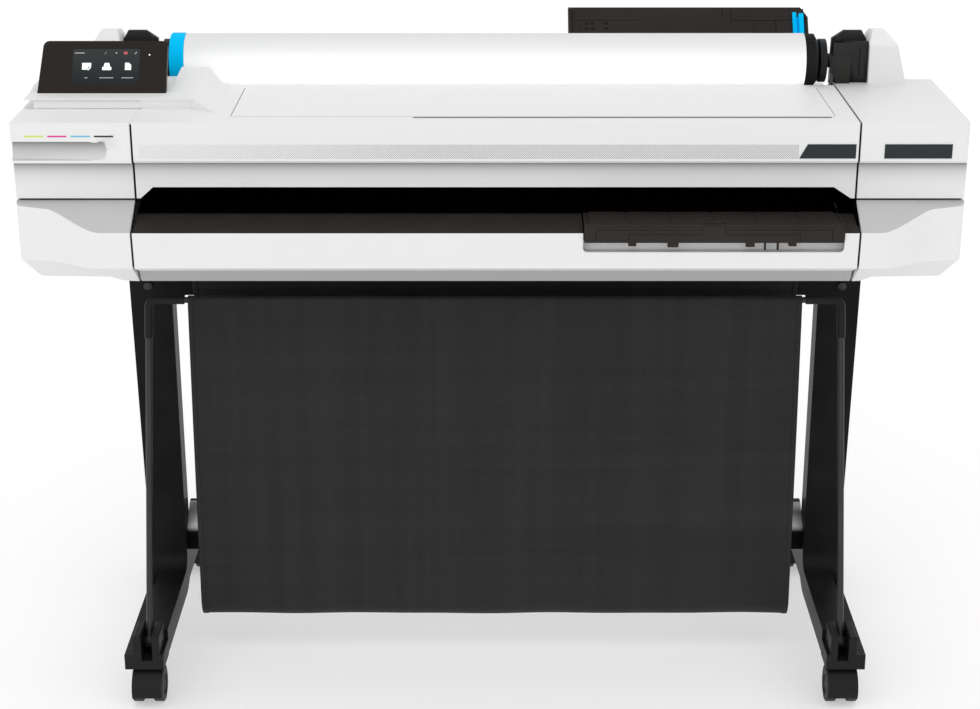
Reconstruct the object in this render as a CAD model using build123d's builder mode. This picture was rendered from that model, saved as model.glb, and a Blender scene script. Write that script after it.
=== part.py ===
from build123d import *

import os
from math import atan2, degrees, hypot

# Large format roll plotter on a wheeled stand, as an assembly of separate pieces.
#
# Millimetres. +X is to the operator's right, +Y is towards the back, +Z is up. The origin lies on the
# floor, under the middle of the overall box. Most places are given from the front edge of the top deck:
# deck(dy, dz) is dy behind that edge and dz above it.

os.makedirs("parts", exist_ok=True)

# ---------------------------------------------------------------- driving dimensions
DECK_Z = 855.0  # height of the top deck over the floor
FRONT_Y = -159.5  # the deck's front edge
HALF_W = 658.5  # half the overall width
SEAM_LEFT = -493.0  # joint between the left pod and the middle
SEAM_RIGHT = 508.0  # joint between the right pod and the middle
SEAM_GAP = 1.5  # half the gap at each joint
MIDDLE_X = (SEAM_LEFT + SEAM_GAP, SEAM_RIGHT - SEAM_GAP)
STAND_X = 6.5  # the stand and the roll are centred here
WALL = 3.0  # moulded wall thickness

BODY_BACK = 392.0  # depth of the body behind the deck's edge
DECK_BACK = 272.0  # where the pods' tops start to slope down
BACK_DROP = -60.0  # how far they have dropped at the back
LIP_DZ = -57.0  # underside of the front lip
UPPER_DZ = -109.0  # underside of the upper body
FLOOR_DZ = -229.0  # underside of the lower body
BULGE_DY = -48.0  # how far the lower front stands forward
BULGE_TOP_DZ = -143.0
BULGE_FOOT_DZ = -195.5

LID_X = (-359.5, 477.5)
LID_DY = (34.5, 209.0)
LID_HINGE = (204.0, -7.0)  # dy, dz
LID_TOP = 1.5

DOOR_HINGE = (78.0, -8.0)
DOOR_BACK = 83.0
GRIP_X = -526.0  # the finger grip under the ink door ends here
GRIP_DZ = -26.5

# the control display leans back between its foot and its head
SCREEN_FOOT = (114.5, 15.0)
SCREEN_HEAD = (158.0, 81.0)
SCREEN_X = (-643.2, -460.7)
SCREEN_THICK = 9.0
GLASS_X = (-595.0, -500.0)
GLASS_UP = (13.0, 66.5)
GLASS_DEEP = 1.2

# roll, its rests and the sheet feeder behind it
ROLL_DY, ROLL_DZ = 265.0, 30.0
ROLL_R = 40.0
CORE_R = 25.4
PAPER_HALF = 457.0
SHAFT_R = 10.5
SHAFT_HALF = 551.0
COLLAR_R = 32.0
COLLAR_X = (480.0, 489.5)  # from the stand's middle plane, as the next two
BRACKET_X = (501.2, 551.8)
HOUSE_X = (552.0, 608.0)
FEEDER_X = (119.3, 488.5)
FEEDER_FOOT = (340.0, -12.0)
FEEDER_HEAD = (415.7, 81.0)

TRAY_X = (129.0, 485.3)
TRAY_DZ = (-156.0, -129.5)  # the output tray's underside and rim
SLOT_EDGE_DY = 38.0  # the platen is notched for the tray back to here

# stand
FOOT_Z = 57.0  # underside of the feet
COLUMN_X = (485.0, 542.0)  # both columns at their feet, measured from the stand's middle plane
COLUMN_FLARE = 6.5  # how much further out a column's outer face is at its top
COLUMN_DY = (171.0, 211.0)
COLUMN_TOP = DECK_Z + FLOOR_DZ
FOOT_BEND_R = 65.0
FLANGE_TOP = FOOT_Z + 24.0
RIDGE_W = 38.0
REAR_FOOT_TOP = 95.0
CAP_DY = (-88.0, -40.0)
CAP_TOP = 111.0
CAP_SLOT_HALF = 8.0
REAR_FOOT_DY = 378.0
ROD_X = 509.0
PIVOT = (-58.0, 88.0)  # dy of the basket arms' pivot and its height
FRONT_BAR = (109.0, 562.0)
REAR_BAR = (157.0, 590.0)
BAG_HALF = 451.0
BAG_BOTTOM = 52.0
BAG_SHEET = 2.0
BAG_CURL = 34.0  # radius of the bag's two lower corners
BAG_MEET = 112.0  # dy where its front and rear sheets meet

# castors
CASTOR_X = 510.0
CASTOR_R = 25.0
CASTOR_TRAIL = 17.0
CASTOR_DY = {"front": -57.0, "rear": 352.0}

# inside
RAIL = (150.0, -45.0)
RAIL_R = 8.0
BELT_DY, BELT_DZ = 192.0, -30.0
PULLEY_R = 8.0
PULLEY_X = (-600.0, 604.0)
PARK_X = 560.0
CARTRIDGE_X = -632.0  # the first of the four
CARTRIDGE_PITCH = 31.0
FEED = (172.0, -112.0)
FEED_R = 11.0
PINCH_R = 6.0
PINCH_DZ = FEED[1] + FEED_R + PINCH_R + 0.1
CHEEK_X = 627.0
INLET_X = (-430.0, -380.0)
INLET_DZ = (-180.0, -150.0)
RUN = 0.06  # radial clearance of a shaft that turns in its hole


# ---------------------------------------------------------------- small helpers
def deck(dy, dz):
    """The (y, z) of a point dy behind and dz above the deck's front edge."""
    return FRONT_Y + dy, DECK_Z + dz


def block(x, dy, dz, mode=Mode.ADD):
    """A box between two x values, two depths behind the deck's edge and two heights over the deck."""
    (y0, z0), (y1, z1) = deck(dy[0], dz[0]), deck(dy[1], dz[1])
    with Locations(((x[0] + x[1]) / 2, (y0 + y1) / 2, (z0 + z1) / 2)):
        return Box(abs(x[1] - x[0]), abs(y1 - y0), abs(z1 - z0), mode=mode)


def floor_block(x, dy, z, mode=Mode.ADD):
    """As block, with heights over the floor."""
    return block(x, dy, (z[0] - DECK_Z, z[1] - DECK_Z), mode)


def prism(points, x, mode=Mode.ADD):
    """A side profile of deck points, extruded between two x values."""
    with BuildSketch(Plane.YZ.offset(x[0])) as outline:
        with BuildLine():
            Polyline(*[deck(*p) for p in points], close=True)
        make_face()
    extrude(outline.sketch, amount=x[1] - x[0], mode=mode)


def front_prism(points, dy, mode=Mode.ADD):
    """A front outline of (x, dz) points, extruded between two depths behind the deck's edge."""
    with BuildSketch(Plane.XZ.offset(-(FRONT_Y + dy[0]))) as outline:
        with BuildLine():
            Polyline(*[(x, DECK_Z + dz) for x, dz in points], close=True)
        make_face()
    extrude(outline.sketch, amount=-(dy[1] - dy[0]), mode=mode)


def shaft(x, dy, dz, radius, mode=Mode.ADD):
    """A round bar along X."""
    y, z = deck(dy, dz)
    with Locations(Location(((x[0] + x[1]) / 2, y, z), (0, 90, 0))):
        Cylinder(radius, abs(x[1] - x[0]), mode=mode)


def post(x, dy, z, radius, mode=Mode.ADD):
    """A round bar along Z between two heights over the floor."""
    with Locations((x, FRONT_Y + dy, (z[0] + z[1]) / 2)):
        Cylinder(radius, abs(z[1] - z[0]), mode=mode)


def save(builder, name):
    """Labels a finished piece and writes its STEP file."""
    builder.part.label = name
    export_step(builder.part, f"parts/{name}.step")


# ---------------------------------------------------------------- stand
def leg(name, side):
    """A column bent forward into the front foot, with a slimmer rear foot welded behind it."""
    near, far = STAND_X + side * COLUMN_X[0], STAND_X + side * COLUMN_X[1]
    inner, outer = sorted((near, far))
    flared = far + side * COLUMN_FLARE
    wide = sorted((near, flared))
    ridge_far = STAND_X + side * (ROD_X + RIDGE_W / 2)
    ridge_near = STAND_X + side * (ROD_X - RIDGE_W / 2)
    front, back = FRONT_Y + COLUMN_DY[0], FRONT_Y + COLUMN_DY[1]
    bend_y, bend_z = back - FOOT_BEND_R, FOOT_Z + FOOT_BEND_R
    inner_r = FOOT_BEND_R - (back - front)
    plate_top = bend_z - inner_r
    toe = FRONT_Y + CAP_DY[1]
    with BuildPart() as built:
        with BuildSketch(Plane.YZ.offset(wide[0])):
            with BuildLine():
                Line((toe, FOOT_Z), (bend_y, FOOT_Z))
                TangentArc((bend_y, FOOT_Z), (back, bend_z), tangent=(1, 0))
                Line((back, bend_z), (back, COLUMN_TOP))
                Line((back, COLUMN_TOP), (front, COLUMN_TOP))
                Line((front, COLUMN_TOP), (front, bend_z))
                TangentArc((front, bend_z), (bend_y, plate_top), tangent=(0, -1))
                Line((bend_y, plate_top), (bend_y, FLANGE_TOP))
                Line((bend_y, FLANGE_TOP), (toe, FLANGE_TOP))
                Line((toe, FLANGE_TOP), (toe, FOOT_Z))
            make_face()
        extrude(amount=wide[1] - wide[0])
        fillet(built.edges().filter_by(Axis.Z).group_by(Axis.Y)[-1], 3)
        flank = [
            (far, FOOT_Z - 1 - DECK_Z), (far, bend_z - DECK_Z), (flared, FLOOR_DZ),
            (flared + side, FLOOR_DZ), (flared + side, FOOT_Z - 1 - DECK_Z),
        ]
        front_prism(flank, (CAP_DY[1] - 1, COLUMN_DY[1] + 1), Mode.SUBTRACT)
        hollow = (COLUMN_DY[0] + WALL, COLUMN_DY[1] - WALL)
        floor_block((inner + WALL, outer - WALL), hollow, (bend_z + 5, COLUMN_TOP - 3), Mode.SUBTRACT)
        plate = sorted((ridge_far, near))
        floor_block(plate, (CAP_DY[1], bend_y - FRONT_Y + 2), (FLANGE_TOP - 1, plate_top))
        ridge = sorted((ridge_far, ridge_near))
        floor_block(ridge, (COLUMN_DY[1] - 30, REAR_FOOT_DY), (FOOT_Z, REAR_FOOT_TOP))
        stem_x = STAND_X + side * CASTOR_X
        post(stem_x, CASTOR_DY["rear"], (FOOT_Z - 1, FOOT_Z + 26), 5.0 + RUN, Mode.SUBTRACT)
    save(built, name)


def foot_caps():
    """The moulded front ends of the feet. A slot between two posts takes the basket arm's lower end."""
    reach = RIDGE_W / 2
    with BuildPart() as built:
        for side in (-1, 1):
            base = sorted((STAND_X + side * COLUMN_X[0], STAND_X + side * COLUMN_X[1]))
            middle = STAND_X + side * ROD_X
            floor_block(base, CAP_DY, (FOOT_Z, FLANGE_TOP))
            floor_block((middle - reach, middle + reach), CAP_DY, (FLANGE_TOP - 1, CAP_TOP))
            slot_x = (middle - CAP_SLOT_HALF, middle + CAP_SLOT_HALF)
            slot_dy = (CAP_DY[0] - 1, CAP_DY[1] + 1)
            floor_block(slot_x, slot_dy, (FOOT_Z + 14, CAP_TOP + 1), Mode.SUBTRACT)
            pivot_x = (middle - reach - 1, middle + reach + 1)
            shaft(pivot_x, PIVOT[0], PIVOT[1] - DECK_Z, 3.0 + RUN, Mode.SUBTRACT)
            stem_x = STAND_X + side * CASTOR_X
            post(stem_x, CASTOR_DY["front"], (FOOT_Z - 1, FOOT_Z + 9), 5.0 + RUN, Mode.SUBTRACT)
        chamfer(built.edges().group_by(Axis.Z)[-1].filter_by(Axis.Y), 1.2)
    save(built, "foot_caps")


def cross_brace():
    """A folded sheet between the columns: a face, a slope running back over it and a lip behind."""
    foot, fold, lip = 119 - DECK_Z, 156 - DECK_Z, 185 - DECK_Z
    sheet = 2.5
    outline = [
        (186, foot), (186, fold), (220, lip), (235, lip), (235, lip - sheet), (221, lip - sheet),
        (186 + sheet, fold - 1), (186 + sheet, foot + sheet), (209, foot + sheet), (209, foot),
    ]
    with BuildPart() as built:
        prism(outline, (STAND_X - COLUMN_X[0], STAND_X + COLUMN_X[0]))
    save(built, "cross_brace")


def stand_top_beam():
    """The channel under the printer that ties the columns together, with a saddle at each end."""
    low, high = 547 - DECK_Z, FLOOR_DZ - 0.5
    gusset_foot = 541 - DECK_Z
    outline = [
        (175, low), (175, high), (205, high), (205, high - WALL), (178, high - WALL), (178, low + WALL),
        (205, low + WALL), (205, low),
    ]
    with BuildPart() as built:
        prism(outline, (STAND_X - COLUMN_X[0], STAND_X + COLUMN_X[0]))
        for side in (-1, 1):
            end = STAND_X + side * COLUMN_X[0]
            saddle = sorted((end, STAND_X + side * 450))
            block(saddle, (169, 175), (low + 2, FLOOR_DZ - 0.5))
            gusset = sorted((end, STAND_X + side * 466))
            block(gusset, (169, 175), (gusset_foot, low + 3))
    save(built, "stand_top_beam")


def stand_bolts():
    """Socket screws: two through each column into the beam, two into the brace, one rear-bar screw."""
    heads = ((190, 575), (190, 600), (198, 145), (198, 165))
    flare_foot = FOOT_Z + FOOT_BEND_R
    front_bolt = (519.6, FRONT_Y + COLUMN_DY[0] - 2.5, 564)
    with BuildPart() as built:
        for side in (-1, 1):
            for dy, z in heads:
                flare = COLUMN_FLARE * (z - flare_foot) / (COLUMN_TOP - flare_foot)
                face = STAND_X + side * (COLUMN_X[1] + flare + 0.1)
                shaft((face, face + side * 5), dy, z - DECK_Z, 6.5)
                shaft((face + side * 2, face + side * 6), dy, z - DECK_Z, 3.0, Mode.SUBTRACT)
        for side in (-1, 1):
            place = (STAND_X + side * front_bolt[0], *front_bolt[1:])
            with Locations(Location(place, (90, 0, 0))):
                Cylinder(6.5, 5)
    save(built, "stand_bolts")


# ---------------------------------------------------------------- castors
def castor(end, side_name, side):
    """A twin-wheel castor: a hood with its stem, and two wheels on one axle."""
    stem_x, stem_dy = STAND_X + side * CASTOR_X, CASTOR_DY[end]
    axle_dy = stem_dy - CASTOR_TRAIL if end == "front" else stem_dy + CASTOR_TRAIL
    axle_dz = CASTOR_R - DECK_Z
    name = f"castor_{end}_{side_name}"
    stem_top = FOOT_Z + (8 if end == "front" else 24)
    with BuildPart() as hood:
        shaft((stem_x - 22, stem_x + 22), axle_dy, axle_dz, 28.5)
        floor_block((stem_x - 30, stem_x + 30), (axle_dy - 40, axle_dy + 40), (-10, 16), Mode.SUBTRACT)
        post(stem_x, stem_dy, (40, FOOT_Z - 0.5), 11)
        post(stem_x, stem_dy, (40, stem_top), 5)
        for sign in (-1, 1):
            cheek = sorted((stem_x + sign * 7, stem_x + sign * 22.5))
            shaft(cheek, axle_dy, axle_dz, 26, Mode.SUBTRACT)
        shaft((stem_x - 8, stem_x + 8), axle_dy, axle_dz, 3.0 + RUN, Mode.SUBTRACT)
    save(hood, f"{name}_hood")
    with BuildPart() as wheels:
        shaft((stem_x - 20, stem_x + 20), axle_dy, axle_dz, 3.0)
        for sign in (-1, 1):
            tread = sorted((stem_x + sign * 8, stem_x + sign * 23))
            shaft(tread, axle_dy, axle_dz, CASTOR_R)
            dish = sorted((stem_x + sign * 20, stem_x + sign * 24))
            shaft(dish, axle_dy, axle_dz, 16, Mode.SUBTRACT)
            hub = sorted((stem_x + sign * 19.5, stem_x + sign * 22))
            shaft(hub, axle_dy, axle_dz, 7)
        fillet(
            wheels.edges().filter_by(GeomType.CIRCLE).filter_by(lambda e: abs(e.radius - CASTOR_R) < 0.1),
            2.2,
        )
    save(wheels, f"{name}_wheels")


# ---------------------------------------------------------------- media basket
def basket_arms():
    """Two steel rods that pivot in the feet and lean back to the front bar's elbows."""
    (y0, z0), (y1, z1) = (FRONT_Y + PIVOT[0], PIVOT[1]), (FRONT_Y + FRONT_BAR[0], FRONT_BAR[1])
    length = hypot(y1 - y0, z1 - z0)
    lean = degrees(atan2(y1 - y0, z1 - z0))
    with BuildPart() as built:
        for side in (-1, 1):
            x = STAND_X + side * ROD_X
            with Locations(Location((x, y0, z0), (-lean, 0, 0))):
                Cylinder(4.8, length - 22, align=(Align.CENTER, Align.CENTER, Align.MIN))
                Box(13, 16, 14)
            shaft((x - 18, x + 18), PIVOT[0], PIVOT[1] - DECK_Z, 3.0)
    save(built, "basket_arms")


def basket_elbows():
    """Plastic elbows that sleeve the rods and turn inwards to carry the front bar."""
    y0, z0 = FRONT_Y + FRONT_BAR[0], FRONT_BAR[1]
    dy, dz = FRONT_BAR[0] - PIVOT[0], FRONT_BAR[1] - PIVOT[1]
    length = hypot(dy, dz)
    lean = degrees(atan2(dy, dz))
    down = (-dy / length, -dz / length)
    sleeve, bend, reach = 56.0, 11.0, 52.0
    with BuildPart() as built:
        for side in (-1, 1):
            x = STAND_X + side * ROD_X
            foot = (x, y0 + down[0] * sleeve, z0 + down[1] * sleeve)
            corner = (x, y0 + down[0] * bend, z0 + down[1] * bend)
            turned = (x - side * bend, y0, z0)
            with BuildLine() as path:
                first = Line(foot, corner)
                second = TangentArc(corner, turned, tangent=first % 1)
                Line(turned, (x - side * reach, y0, z0))
            with BuildSketch(Plane(origin=foot, z_dir=first % 0)):
                Circle(6.4)
            sweep(path=path.line)
            with Locations(Location((x, FRONT_Y + PIVOT[0], PIVOT[1]), (-lean, 0, 0))):
                Cylinder(
                    4.8, length - 22, align=(Align.CENTER, Align.CENTER, Align.MIN), mode=Mode.SUBTRACT
                )
            bar = sorted((x - side * (reach - 20), x - side * (reach + 1)))
            shaft(bar, FRONT_BAR[0], FRONT_BAR[1] - DECK_Z, 4.5, Mode.SUBTRACT)
    save(built, "basket_elbows")


def basket_bars():
    """The tubes that carry the fabric's front and rear hems."""
    reach = ROD_X - 52.0 + 20.0
    with BuildPart() as front:
        shaft((STAND_X - reach, STAND_X + reach), FRONT_BAR[0], FRONT_BAR[1] - DECK_Z, 4.5)
    save(front, "basket_front_bar")
    with BuildPart() as rear:
        shaft((STAND_X - COLUMN_X[0], STAND_X + COLUMN_X[0]), REAR_BAR[0], REAR_BAR[1] - DECK_Z, 5)
        for side in (-1, 1):
            x = sorted((STAND_X + side * COLUMN_X[0], STAND_X + side * (COLUMN_X[0] - 8)))
            block(x, (REAR_BAR[0] - 8, 169), (REAR_BAR[1] - 12 - DECK_Z, REAR_BAR[1] + 12 - DECK_Z))
    save(rear, "basket_rear_bar")


def bag_sheet(name, hem, side_dy, inward):
    """One sheet of the bag: down from its hem, round its lower corner and along the bottom."""
    turn_z, meet = BAG_BOTTOM + BAG_CURL, FRONT_Y + BAG_MEET - inward * 2
    side_y = FRONT_Y + side_dy
    turn_y, inner_y = side_y + inward * BAG_CURL, side_y + inward * BAG_SHEET
    top = (FRONT_Y + hem[0], hem[1])
    top_inside = (top[0] + inward * BAG_SHEET, top[1])
    floor = BAG_BOTTOM + BAG_SHEET
    with BuildPart() as built:
        with BuildSketch(Plane.YZ.offset(STAND_X - BAG_HALF)):
            with BuildLine():
                Line(top, (side_y, turn_z))
                TangentArc((side_y, turn_z), (turn_y, BAG_BOTTOM), tangent=(0, -1))
                Line((turn_y, BAG_BOTTOM), (meet, BAG_BOTTOM))
                Line((meet, BAG_BOTTOM), (meet, floor))
                Line((meet, floor), (turn_y, floor))
                TangentArc((turn_y, floor), (inner_y, turn_z), tangent=(-inward, 0))
                Line((inner_y, turn_z), top_inside)
                Line(top_inside, top)
            make_face()
        extrude(amount=2 * BAG_HALF)
    save(built, name)


def basket_panels():
    """The bag as two plain closed sheets, one hung from each bar, meeting at its rounded bottom."""
    bag_sheet("basket_front_panel", (FRONT_BAR[0] - 6, FRONT_BAR[1] - 9), 74, 1)
    bag_sheet("basket_rear_panel", (REAR_BAR[0], REAR_BAR[1] - 9), 150, -1)


# ---------------------------------------------------------------- lower body
LOWER_TOP = UPPER_DZ - 2.5
LOWER_SIDE = [
    (7.4, LOWER_TOP), (BULGE_DY, BULGE_TOP_DZ), (BULGE_DY + 5, BULGE_FOOT_DZ), (-13, -208), (4, FLOOR_DZ),
    (BODY_BACK, FLOOR_DZ), (BODY_BACK, LOWER_TOP),
]
LOWER_HOLLOW = [
    (8, LOWER_TOP + 1), (8, LOWER_TOP - 4), (BULGE_DY + 4, BULGE_TOP_DZ - 3),
    (BULGE_DY + 8, BULGE_FOOT_DZ + 2), (-11, -198), (36, FLOOR_DZ + WALL),
    (BODY_BACK - WALL, FLOOR_DZ + WALL), (BODY_BACK - WALL, LOWER_TOP + 1),
]


def wing_front(side, inset):
    """The swept front edge of a wing in plan, from its bulge out to its nose."""
    bulge, nose = FRONT_Y + BULGE_DY + inset, FRONT_Y - 3 + inset
    return Spline(
        (side * 536, bulge + 0.4), (side * 553, bulge + 5), (side * 606, nose - 8), (side * 622, nose - 4),
        tangents=((side * 1, 0.05), (side * 1, 0.05)), mode=Mode.PRIVATE,
    )


def wing_sketch(level, start, middle, edge, nose, inner):
    """A wing's plan at one height: a straight start, the swept middle, a rounded corner and the back."""
    side = 1 if edge > 0 else -1
    with BuildSketch(Plane.XY.offset(level)) as plan:
        with BuildLine():
            first = Line((inner, start), middle @ 0)
            add(middle)
            fourth = Line(middle @ 1, (edge - side * 8, nose))
            fifth = TangentArc(fourth @ 1, (edge, nose + 8), tangent=(side, 0))
            sixth = Line(fifth @ 1, (edge, FRONT_Y + BODY_BACK))
            seventh = Line(sixth @ 1, (inner, FRONT_Y + BODY_BACK))
            Line(seventh @ 1, first @ 0)
        make_face()
    return plan.sketch


def wing_body(outer, inner, inset, side_view):
    """The lower side profile, trimmed in plan to the pod's swept front."""
    side = 1 if outer > 0 else -1
    edge = outer - side * inset
    low, high = DECK_Z + FLOOR_DZ - 1, DECK_Z + LOWER_TOP + 2
    nose, bulge = FRONT_Y - 3 + inset, FRONT_Y + BULGE_DY + inset
    with BuildPart() as body:
        prism(side_view, (min(edge, inner), max(edge, inner)))
        plan = wing_sketch(low, bulge + 0.4, wing_front(side, inset), edge, nose, inner)
        extrude(plan, amount=high - low, mode=Mode.INTERSECT)
    return body.part


def wing_skirt(outer, inner):
    """The foot of a wing, drawn in on all its free sides from the crease down to the floor."""
    side = 1 if outer > 0 else -1
    full = wing_front(side, 0)
    crease = FRONT_Y + BULGE_DY + 5
    swept = full.trim(full.param_at_point((side * 553, crease)), 1)
    drawn_in = Spline(
        (inner + side * 8, FRONT_Y + 4.4), (side * 527, FRONT_Y + 14), (side * 541, FRONT_Y + 24),
        tangents=((side * 1, 0.15), (side * 1, 0.15)), mode=Mode.PRIVATE,
    )
    floor_edge = outer - side * 17.5
    with BuildPart() as skirt:
        top = wing_sketch(DECK_Z + BULGE_FOOT_DZ, crease, swept, outer, FRONT_Y - 3, inner)
        foot = wing_sketch(DECK_Z + FLOOR_DZ, FRONT_Y + 4, drawn_in, floor_edge, FRONT_Y + 28, inner)
        loft([top, foot], ruled=True)
    return skirt.part


def wing_hollow(outer, inner):
    """The inside of a lower pod, drawn in below the crease as the skirt is."""
    side = 1 if outer > 0 else -1
    edge = outer - side * WALL
    core = wing_body(outer, inner - side, WALL, LOWER_HOLLOW)
    with BuildPart() as hollow:
        add(core)
        slant = [(edge + side, -190), (edge, -192), (edge - side * 19, FLOOR_DZ), (edge + side, FLOOR_DZ)]
        front_prism(slant, (-60, BODY_BACK + 2), Mode.SUBTRACT)
        ahead = [(-60, -190), (-3, -192), (34, FLOOR_DZ), (-60, FLOOR_DZ)]
        prism(ahead, sorted((side * 560, outer)), Mode.SUBTRACT)
    return hollow.part


def wing(name, outer, inner):
    """A hollow lower pod under a sloping ledge, open at its top and at its inner side."""
    upper = LOWER_SIDE[:3] + [(BODY_BACK, BULGE_FOOT_DZ), (BODY_BACK, LOWER_TOP)]
    whole = wing_body(outer, inner, 0, upper)
    skirt = wing_skirt(outer, inner)
    hollow = wing_hollow(outer, inner)
    with BuildPart() as built:
        add(whole)
        add(skirt)
        add(hollow, mode=Mode.SUBTRACT)
    save(built, name)


def base_tray():
    """The floor of the middle, turned up at the front under the white panel."""
    outline = [
        (-13, -208), (4, FLOOR_DZ), (BODY_BACK - WALL, FLOOR_DZ), (BODY_BACK - WALL, FLOOR_DZ + WALL),
        (5.5, FLOOR_DZ + WALL), (-10.8, -206),
    ]
    with BuildPart() as built:
        prism(outline, MIDDLE_X)
        for x in (-300, 0, 300):
            block((x - 2, x + 2), (60, 340), (FLOOR_DZ + WALL, FLOOR_DZ + 12))
    save(built, "base_tray")


def tray_opening(pocket, back, foot):
    """What is cut from the white panel for the output tray, with two rounded lower corners."""
    with BuildPart() as opening:
        block(pocket, (-60, back), (foot, BULGE_TOP_DZ + 5))
        fillet(opening.edges().filter_by(Axis.Y).group_by(Axis.Z)[0], 6)
    return opening.part


def lower_front_panel():
    """The white middle panel, with a shallow pocket at its right for the front of the output tray."""
    outline = [
        (BULGE_DY, BULGE_TOP_DZ), (BULGE_DY + 5, BULGE_FOOT_DZ), (-13, -208), (-10.8, -206),
        (BULGE_DY + 8, BULGE_FOOT_DZ + 1.5), (BULGE_DY + 3, BULGE_TOP_DZ - 1),
    ]
    pocket = (TRAY_X[0] - 1.5, TRAY_X[1] + 1.5)
    foot, back = -171.0, -31.0
    opening = tray_opening(pocket, back, foot)
    with BuildPart() as built:
        prism(outline, MIDDLE_X)
        front = built.edges().filter_by(Axis.X).sort_by_distance((0, *deck(BULGE_DY + 5, BULGE_FOOT_DZ)))
        fillet(front[0], 2)
        add(opening, mode=Mode.SUBTRACT)
        shelf = (pocket[0] - 2, pocket[1] + 2)
        block(shelf, (BULGE_DY + 4, back + 2), (foot - 2, foot))
        block(shelf, (back, back + 2), (foot - 2, TRAY_DZ[0] - 1.5))
    save(built, "lower_front_panel")


# ---------------------------------------------------------------- upper body
POD_SIDE = [
    (0, 0), (DECK_BACK, 0), (BODY_BACK, BACK_DROP), (BODY_BACK, UPPER_DZ), (7.4, UPPER_DZ),
    (6.5, LIP_DZ), (2.5, LIP_DZ), (0, LIP_DZ + 3),
]
POD_HOLLOW = [
    (WALL + 1, -WALL), (DECK_BACK, -WALL), (BODY_BACK - WALL, BACK_DROP - WALL),
    (BODY_BACK - WALL, UPPER_DZ - 1), (10.4, UPPER_DZ - 1), (9.5, LIP_DZ), (WALL + 1, LIP_DZ + 1),
]


def pod_shell(outer, inner):
    """An upper pod: rounded outside, hollow, open below and at its inner side."""
    side = 1 if outer > 0 else -1
    inside = outer - side * WALL
    with BuildPart() as shell:
        prism(POD_SIDE, (min(outer, inner), max(outer, inner)))
        uprights = shell.edges().filter_by(Axis.Z)
        front = uprights.sort_by_distance((outer, *deck(0, LIP_DZ / 2)))[0]
        rear = uprights.sort_by_distance((outer, *deck(BODY_BACK, UPPER_DZ)))[0]
        fillet(front, 7)
        fillet(rear, 9)
        prism(POD_HOLLOW, (min(inside, inner - side), max(inside, inner - side)), Mode.SUBTRACT)
    return shell.part


def left_upper_housing():
    """The left pod, with the opening that the ink door covers."""
    outer, inner = -HALF_W, SEAM_LEFT - SEAM_GAP
    with BuildPart() as built:
        add(pod_shell(outer, inner))
        block((outer - 1, inner + 1), (-1, DOOR_BACK + 1), (LIP_DZ - 0.5, 1), Mode.SUBTRACT)
        block((outer - 1, inner + 1), (DOOR_BACK, DOOR_BACK + 7), (DOOR_HINGE[1] - 2.5, 1), Mode.SUBTRACT)
        for x in (outer + 12, inner - 12):
            block((x - 3, x + 3), (74, 81.5), (DOOR_HINGE[1] - 6, DOOR_HINGE[1] + 3.9))
            block((x - 3, x + 3), (74, DOOR_BACK + 10), (DOOR_HINGE[1] - 8, DOOR_HINGE[1] - 4.5))
            block((x - 3, x + 3), (DOOR_BACK + 7, DOOR_BACK + 10), (DOOR_HINGE[1] - 8, -1))
            shaft((x - 4, x + 4), DOOR_HINGE[0], DOOR_HINGE[1], 2.0 + RUN, Mode.SUBTRACT)
    save(built, "left_upper_housing")


def right_upper_housing():
    """The right pod."""
    with BuildPart() as built:
        add(pod_shell(HALF_W, SEAM_RIGHT + SEAM_GAP))
    save(built, "right_upper_housing")


GRIP_SIDE = [(-1, GRIP_DZ), (6.5, GRIP_DZ), (6, GRIP_DZ - 8), (2, LIP_DZ + 4.5), (-1, LIP_DZ + 3)]


def grip_end():
    """The right end of the finger grip, where its hollow runs out to the face."""
    run_out = [(-1, GRIP_DZ), (0.1, GRIP_DZ), (0.1, GRIP_DZ - 3), (0.1, LIP_DZ + 6), (-1, LIP_DZ + 3)]
    with BuildPart() as hollow:
        for x, points in ((GRIP_X - 26, GRIP_SIDE), (GRIP_X, run_out)):
            with BuildSketch(Plane.YZ.offset(x)):
                with BuildLine():
                    Polyline(*[deck(*p) for p in points], close=True)
                make_face()
        loft(ruled=True)
    return hollow.part


def ink_door():
    """The cover over the cartridges: part of the deck and the front, with a finger grip along its foot."""
    outer, inner = -HALF_W, SEAM_LEFT - SEAM_GAP
    outline = [(0, LIP_DZ), (0, 0), (DOOR_BACK, 0), (DOOR_BACK, -2.6), (2.6, -2.6), (2.6, LIP_DZ)]
    with BuildPart() as built:
        prism(outline, (outer, inner))
        cheek = [(0.5, LIP_DZ), (0.5, -1), (74, -1), (79, -3), (DOOR_BACK, -8), (DOOR_BACK, LIP_DZ)]
        prism(cheek, (outer + 1, outer + WALL))
        corner = built.edges().filter_by(Axis.Z).sort_by_distance((outer, *deck(0, LIP_DZ / 2)))[0]
        fillet(corner, 1.5)
        backing = [(0.5, LIP_DZ), (0.5, GRIP_DZ + 3), (9, GRIP_DZ + 2), (9, GRIP_DZ - 8), (5, LIP_DZ)]
        prism(backing, (outer + 0.5, GRIP_X + 6))
        prism(GRIP_SIDE, (outer - 1, GRIP_X - 26), Mode.SUBTRACT)
        add(grip_end(), mode=Mode.SUBTRACT)
        for x in (outer + 12, inner - 12):
            for place in (x - 6.1, x + 6.1):
                block((place - 2, place + 2), (74, 82), (DOOR_HINGE[1] - 4, -2))
            shaft((x - 6, x + 6), DOOR_HINGE[0], DOOR_HINGE[1], 2.0)
    save(built, "ink_door")


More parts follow.
